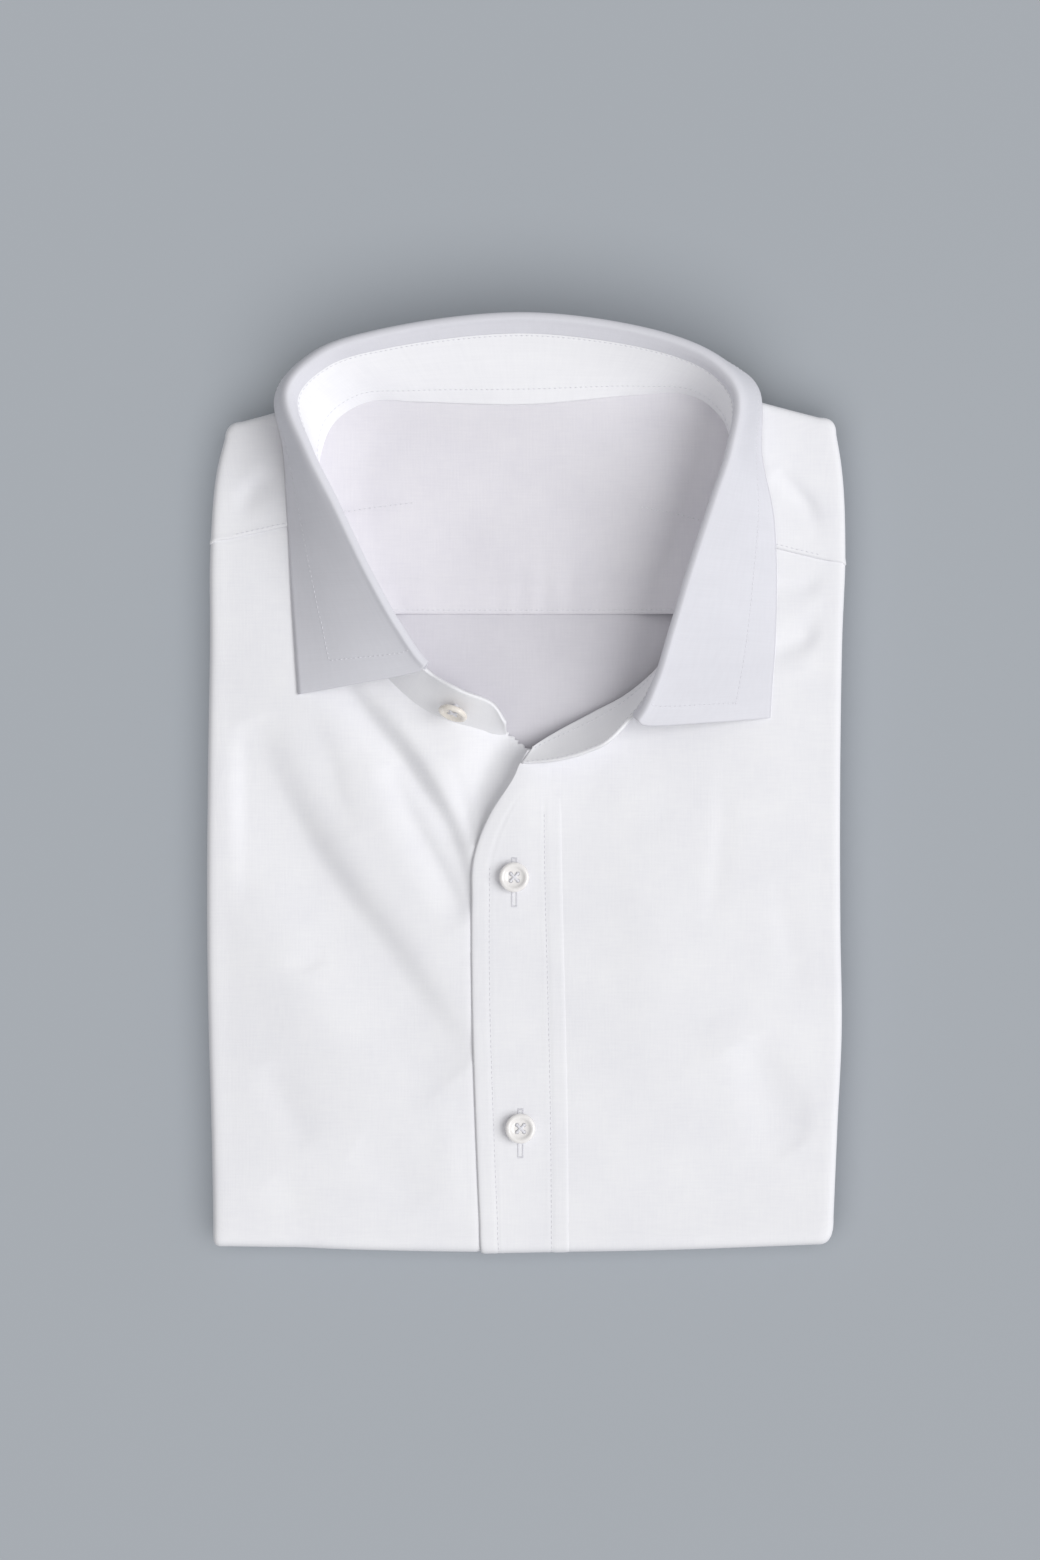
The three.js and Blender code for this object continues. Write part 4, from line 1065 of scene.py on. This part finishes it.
def placket_share(x, y):
    """The placket's shares for a place on the opened-out cloth."""
    left, right = placket_x(y, "left"), placket_x(y, "right")
    return (x - left) / (right - left), (y - PLACKET_LOW_Y) / (PLACKET_TOP - PLACKET_LOW_Y)


def placket_row(edge):
    y = mix(*PLACKET_STITCHES[edge], LINE)
    inwards = PLACKET_ROWS["in"] if edge == "left" else -PLACKET_ROWS["in"]
    return on_sheet(placket, *placket_share(placket_x(y, edge) + inwards, y))


sew("placket_stitches", [placket_row(edge) for edge in PLACKET_STITCHES])

# %% Rows of stitches on the collar and the yokes
LEAF_ROW = {"in": 6.0, "end": 0.030, "top": 0.42}  # mm from the leaf's edge, and shares of the leaf
STAND_ROWS = {"end": 0.005, "heights": (0.95, 0.22)}  # shares of the stand
YOKE_ROWS = {"from": 0.16, "to": 0.42, "up": 0.022}  # shares of the outer yoke, from its middle to each side
INNER_YOKE_ROW = {"from": 0.2, "to": 0.8, "up": 0.018}  # shares of the inner yoke


def leaf_border():
    """A row that comes down one end of the leaf, follows its outer edge and goes up the other end."""
    fall = length_of(leaf(np.full(MEASURING, 0.5), np.linspace(0, 1, MEASURING))[0])
    low = 1 - LEAF_ROW["in"] / fall
    first, last = LEAF_ROW["end"], 1 - LEAF_ROW["end"]
    up = mix(low, LEAF_ROW["top"], LINE)
    return [on_sheet(leaf, first, up), on_sheet(leaf, mix(first, last, LINE), low), on_sheet(leaf, last, up)]


def yoke_row(side):
    us = mix(0.5 + YOKE_ROWS["from"] * side, 0.5 + YOKE_ROWS["to"] * side, LINE)
    return on_sheet(outer_yoke, us, YOKE_ROWS["up"])


stand_line = mix(STAND_ROWS["end"], 1 - STAND_ROWS["end"], LINE)
inner_line = mix(INNER_YOKE_ROW["from"], INNER_YOKE_ROW["to"], LINE)
sew("collar_leaf_stitches", leaf_border())
sew("collar_stand_stitches", [on_sheet(stand, stand_line, height, -1) for height in STAND_ROWS["heights"]])
sew("yoke_stitches", [yoke_row(-1), yoke_row(1)])
sew("inner_yoke_stitches", [on_sheet(inner_yoke, inner_line, INNER_YOKE_ROW["up"])])

# %% [markdown]
# ## Buttonholes
#
# A shirt's buttonholes run along the placket: two legs of dense zigzag on either side of a slit, with a bar
# across each end. The same sewing function makes them, with its stitches laid across the row and close
# together.

# %% Buttonholes
BUTTON_PLACES = {"button_upper": (-4.6, -35.9), "button_lower": (-2.2, -132.0)}
HOLE_SIZE = {"above": 7.2, "below": 11.2, "leg": 0.9, "bar": 1.2}
ZIGZAG = {"pitch": 0.34, "length": 0.36, "width": 1.05, "height": 0.24}


def buttonhole(x, y):
    """The two legs and two end bars round one buttonhole."""
    ys = mix(y - HOLE_SIZE["below"], y + HOLE_SIZE["above"], LINE)
    xs = mix(x - HOLE_SIZE["bar"], x + HOLE_SIZE["bar"], LINE)
    legs = [on_sheet(placket, *placket_share(x + side * HOLE_SIZE["leg"], ys)) for side in (-1, 1)]
    bars = [on_sheet(placket, *placket_share(xs, ys[end])) for end in (0, -1)]
    return legs + bars


sew("buttonhole_stitches", [row for place in BUTTON_PLACES.values() for row in buttonhole(*place)], ZIGZAG)

# %% [markdown]
# ## Buttons
#
# The buttons are turned from off-white resin: a domed edge, a raised rim, a dished face and four drilled
# holes. A profile spun round the axis gives the turned part, and a boolean drills it, as a drill would.
# Thread crosses the holes. Each button lies where its CAD solid is.

# %% Resin
CLOUD = 2.2  # mm across the pearly clouds


def resin(name, colour, shade):
    """Polished polyester resin with a pearly cloud under its gloss."""
    material, tree, shader = new_material(name, {"IOR": 1.52, "Coat Weight": 0.3})
    clouds = add_node(tree, "ShaderNodeTexNoise", {
        "Vector": add_node(tree, "ShaderNodeTexCoord").outputs["Object"],
        "Scale": 1 / (CLOUD * MM), "Detail": 2.0, "Distortion": 0.6,
    })
    mixed = add_node(tree, "ShaderNodeMix", {
        "Factor": clouds.outputs["Fac"], "A": linear(shade), "B": linear(colour),
    }, data_type="RGBA")
    tree.links.new(mixed.outputs["Result"], shader.inputs["Base Color"])
    gloss = add_node(tree, "ShaderNodeMapRange", {
        "Value": clouds.outputs["Fac"], "To Min": 0.2, "To Max": 0.34,
    })
    tree.links.new(gloss.outputs[0], shader.inputs["Roughness"])
    return material


PLACKET_RESIN = resin("off_white_resin", "F6F4F3", "ECE9E8")
COLLAR_RESIN = resin("cream_resin", "F4EEE6", "E6DFD6")
print("resins:", PLACKET_RESIN.name, COLLAR_RESIN.name)

# %% Turning and drilling a button
BUTTON = {  # "hole" is a hole's radius, and "spread" its way from the middle along x and y
    "face": 1.45, "hole": 0.8, "spread": 1.35, "sides": 64, "merge": 1e-4, "sharp": np.radians(40),
}
DRILL = {"length": 8, "middle": 1, "sides": 24}
BUTTON_PROFILE = [  # distance from the axis and height, from the back to the middle of the face
    (0, 0), (3.4, 0.02), (4.75, 0.25), (5.5, 0.85), (5.75, 1.5), (5.62, 2.1), (5.25, 2.48), (4.7, 2.6),
    (4.15, 2.45), (3.75, 2.0), (3.3, 1.66), (2.4, 1.5), (1.2, BUTTON["face"]), (0, BUTTON["face"]),
]


def turned_button():
    bm = bmesh.new()
    ring = [bm.verts.new((radius, 0, height)) for radius, height in BUTTON_PROFILE]
    edges = [bm.edges.new(pair) for pair in zip(ring, ring[1:])]
    bmesh.ops.spin(bm, geom=ring + edges, cent=(0, 0, 0), axis=(0, 0, 1), angle=2 * np.pi,
                   steps=BUTTON["sides"], use_merge=True)
    bmesh.ops.remove_doubles(bm, verts=bm.verts, dist=BUTTON["merge"])
    bmesh.ops.recalc_face_normals(bm, faces=bm.faces)
    return bm


def drills():
    bm = bmesh.new()
    for x, y in ((-1, -1), (-1, 1), (1, -1), (1, 1)):
        place = Matrix.Translation((x * BUTTON["spread"], y * BUTTON["spread"], DRILL["middle"]))
        bmesh.ops.create_cone(bm, cap_ends=True, segments=DRILL["sides"], radius1=BUTTON["hole"],
                              radius2=BUTTON["hole"], depth=DRILL["length"], matrix=place)
    return bm


def drilled_button():
    """A button's finished mesh, in millimetres round its own axis."""
    blank = add_object("button_blank", mesh_of("button_blank", turned_button()))
    tool = add_object("button_drills", mesh_of("button_drills", drills()))
    cut = blank.modifiers.new("drill", "BOOLEAN")
    cut.operation, cut.solver, cut.object = "DIFFERENCE", "EXACT", tool
    finished = bpy.data.meshes.new_from_object(blank.evaluated_get(bpy.context.evaluated_depsgraph_get()))
    for made in (blank, tool):
        bpy.data.objects.remove(made)
    finished.polygons.foreach_set("use_smooth", [True] * len(finished.polygons))
    finished.set_sharp_from_angle(angle=BUTTON["sharp"])
    return finished


BUTTON_MESH = drilled_button()
print(f"a drilled button has {len(BUTTON_MESH.polygons)} faces")

# %% Sewing the buttons on
CROSS = {"rise": 0.3, "half_height": 0.48, "half_width": 0.55}  # thread over the button's face
KNOT = {"radius": 0.74, "height": 1.15}  # thread that fills each hole
SHANK = {"radius": 1.1, "foot": 1.32, "below": 1.6}  # thread under the button, wider at its foot
BALL = {"u_segments": 12, "v_segments": 8}  # the facets of the knots, and of the bars between them
COLLAR_BUTTON = {  # rows along the collar and share of the stand's height; its distance from the stand
    "place": 2, "beside": 0.3, "height": 0.52, "stand_wall": 1.6, "thread": 1.5, "hang": 0.6,
}
BUTTON_SUNK = 0.25  # its thread pulls a button a little into the placket


def cross_thread(bm, matrix):
    """Two bars of thread, from hole to hole, and the shank under the button."""
    for y in (1, -1):
        start = Vector((1, y, 0)) * BUTTON["spread"]
        bar = matrix @ Matrix.Translation((0, 0, BUTTON["face"] + CROSS["rise"] / 2))
        turn = Matrix.Rotation(np.arctan2(start.y, start.x), 4, "Z")
        size = Matrix.Diagonal((start.length + BUTTON["hole"], CROSS["half_width"], CROSS["half_height"], 1))
        bmesh.ops.create_uvsphere(bm, **BALL, radius=1.0, matrix=bar @ turn @ size)
        for end in (start, -start):
            knot = matrix @ Matrix.Translation((end.x, end.y, KNOT["height"]))
            bmesh.ops.create_uvsphere(bm, **BALL, radius=KNOT["radius"], matrix=knot)
    low = matrix @ Matrix.Translation((0, 0, -SHANK["below"] / 2))
    bmesh.ops.create_cone(bm, cap_ends=True, segments=16, radius1=SHANK["foot"], radius2=SHANK["radius"],
                          depth=SHANK["below"], matrix=low)


def sew_button(node, matrix, material):
    mesh = BUTTON_MESH.copy()
    mesh.transform(Matrix.Scale(MM, 4) @ matrix)
    mesh.name = f"{node}_turned"
    mesh.materials.clear()
    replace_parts(add_piece(f"{node}_turned", mesh, material), node)
    bm = bmesh.new()
    cross_thread(bm, Matrix.Scale(MM, 4) @ matrix)
    add_piece(f"{node}_thread", mesh_of(f"{node}_thread", bm), THREAD_PAINTED_SHADE)


for name, (x, y) in BUTTON_PLACES.items():
    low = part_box(name)[0][2] / MM
    sew_button(name, Matrix.Translation((x, y, low - BUTTON_SUNK)), PLACKET_RESIN)


def collar_button_matrix():
    """Where the collar button's back lies, its face turned away from the neck."""
    place, height = COLLAR_BUTTON["place"], COLLAR_BUTTON["height"]
    beside = COLLAR_BUTTON["beside"]
    shares = np.array([place, place - beside, place + beside]) / LAST_ROW
    middle, before, after = stand(shares, np.full(3, height))[0]
    foot, top = (stand(shares[:1], np.array([share]))[0][0] for share in (0.0, 1.0))
    facing = -unit(np.cross(after - before, top - foot))
    back = middle + facing * (COLLAR_BUTTON["stand_wall"] + COLLAR_BUTTON["thread"])
    facing = unit(facing * [1, 1, COLLAR_BUTTON["hang"]])
    return Matrix.Translation(Vector(back)) @ Vector(facing).to_track_quat("Z", "Y").to_matrix().to_4x4()


sew_button("button_collar", collar_button_matrix(), COLLAR_RESIN)
print("buttons sewn on:", ", ".join([*BUTTON_PLACES, "button_collar"]))

# %% [markdown]
# ## Floor and light
#
# The shirt lies on a plain grey-blue board. The light is a large soft window to its right, so the folds and
# the collar's left side fall into gentle shade, which a weak lamp from the front left, for the rest of the
# room, keeps from going dark. Sun lamps with wide discs do that evenly over the whole shirt. The floor has
# a wide sun of its own, so its shadows stay thin and pale, and the sky adds even light from all round.

# %% Floor, lamps and sky
BOARD = {"colour": "A6ABB1", "half": 4.0}  # metres from its middle to its edges


def make_floor():
    bm = bmesh.new()
    bmesh.ops.create_grid(bm, x_segments=1, y_segments=1, size=BOARD["half"])
    floor = add_object("floor", mesh_of("floor", bm))
    matt = {"Base Color": linear(BOARD["colour"]), "Roughness": 1.0, "Specular IOR Level": 0.0}
    floor.data.materials.append(new_material("matt_grey_board", matt)[0])
    return floor


def make_sun(name, towards, spread, strength, receivers):
    """A far lamp in a direction, its disc spread degrees wide, that lights only some objects."""
    data = bpy.data.lights.new(name, "SUN")
    data.angle, data.energy = np.radians(spread), strength
    lamp = add_object(name, data)
    lamp.rotation_euler = Vector(towards).to_track_quat("Z", "Y").to_euler()
    lit = bpy.data.collections.new(f"lit_by_{name}")
    for made in receivers:
        lit.objects.link(made)
    lamp.light_linking.receiver_collection = lit


def make_sky(colour, strength):
    world = bpy.data.worlds.new("studio")
    bpy.context.scene.world = world
    world.use_nodes = True
    background = world.node_tree.nodes["Background"]
    background.inputs["Color"].default_value = linear(colour)
    background.inputs["Strength"].default_value = strength


shirt_pieces = [made for made in bpy.context.scene.objects if made.type == "MESH"]
board = make_floor()
LAMPS = [  # name, the way towards it, degrees across its disc, strength and what it lights
    ("window", (0.64, -0.07, 0.76), 46, 2.05, shirt_pieces),
    ("room", (-0.35, -0.7, 0.5), 90, 0.34, shirt_pieces),
    ("floor_window", (0.03, -0.24, 0.97), 70, 2.0, [board]),
]
for lamp in LAMPS:
    make_sun(*lamp)
make_sky("FFFFFF", 0.4)
print(len(LAMPS), "suns and a sky")
bpy.context.scene.view_settings.view_transform = "Standard"
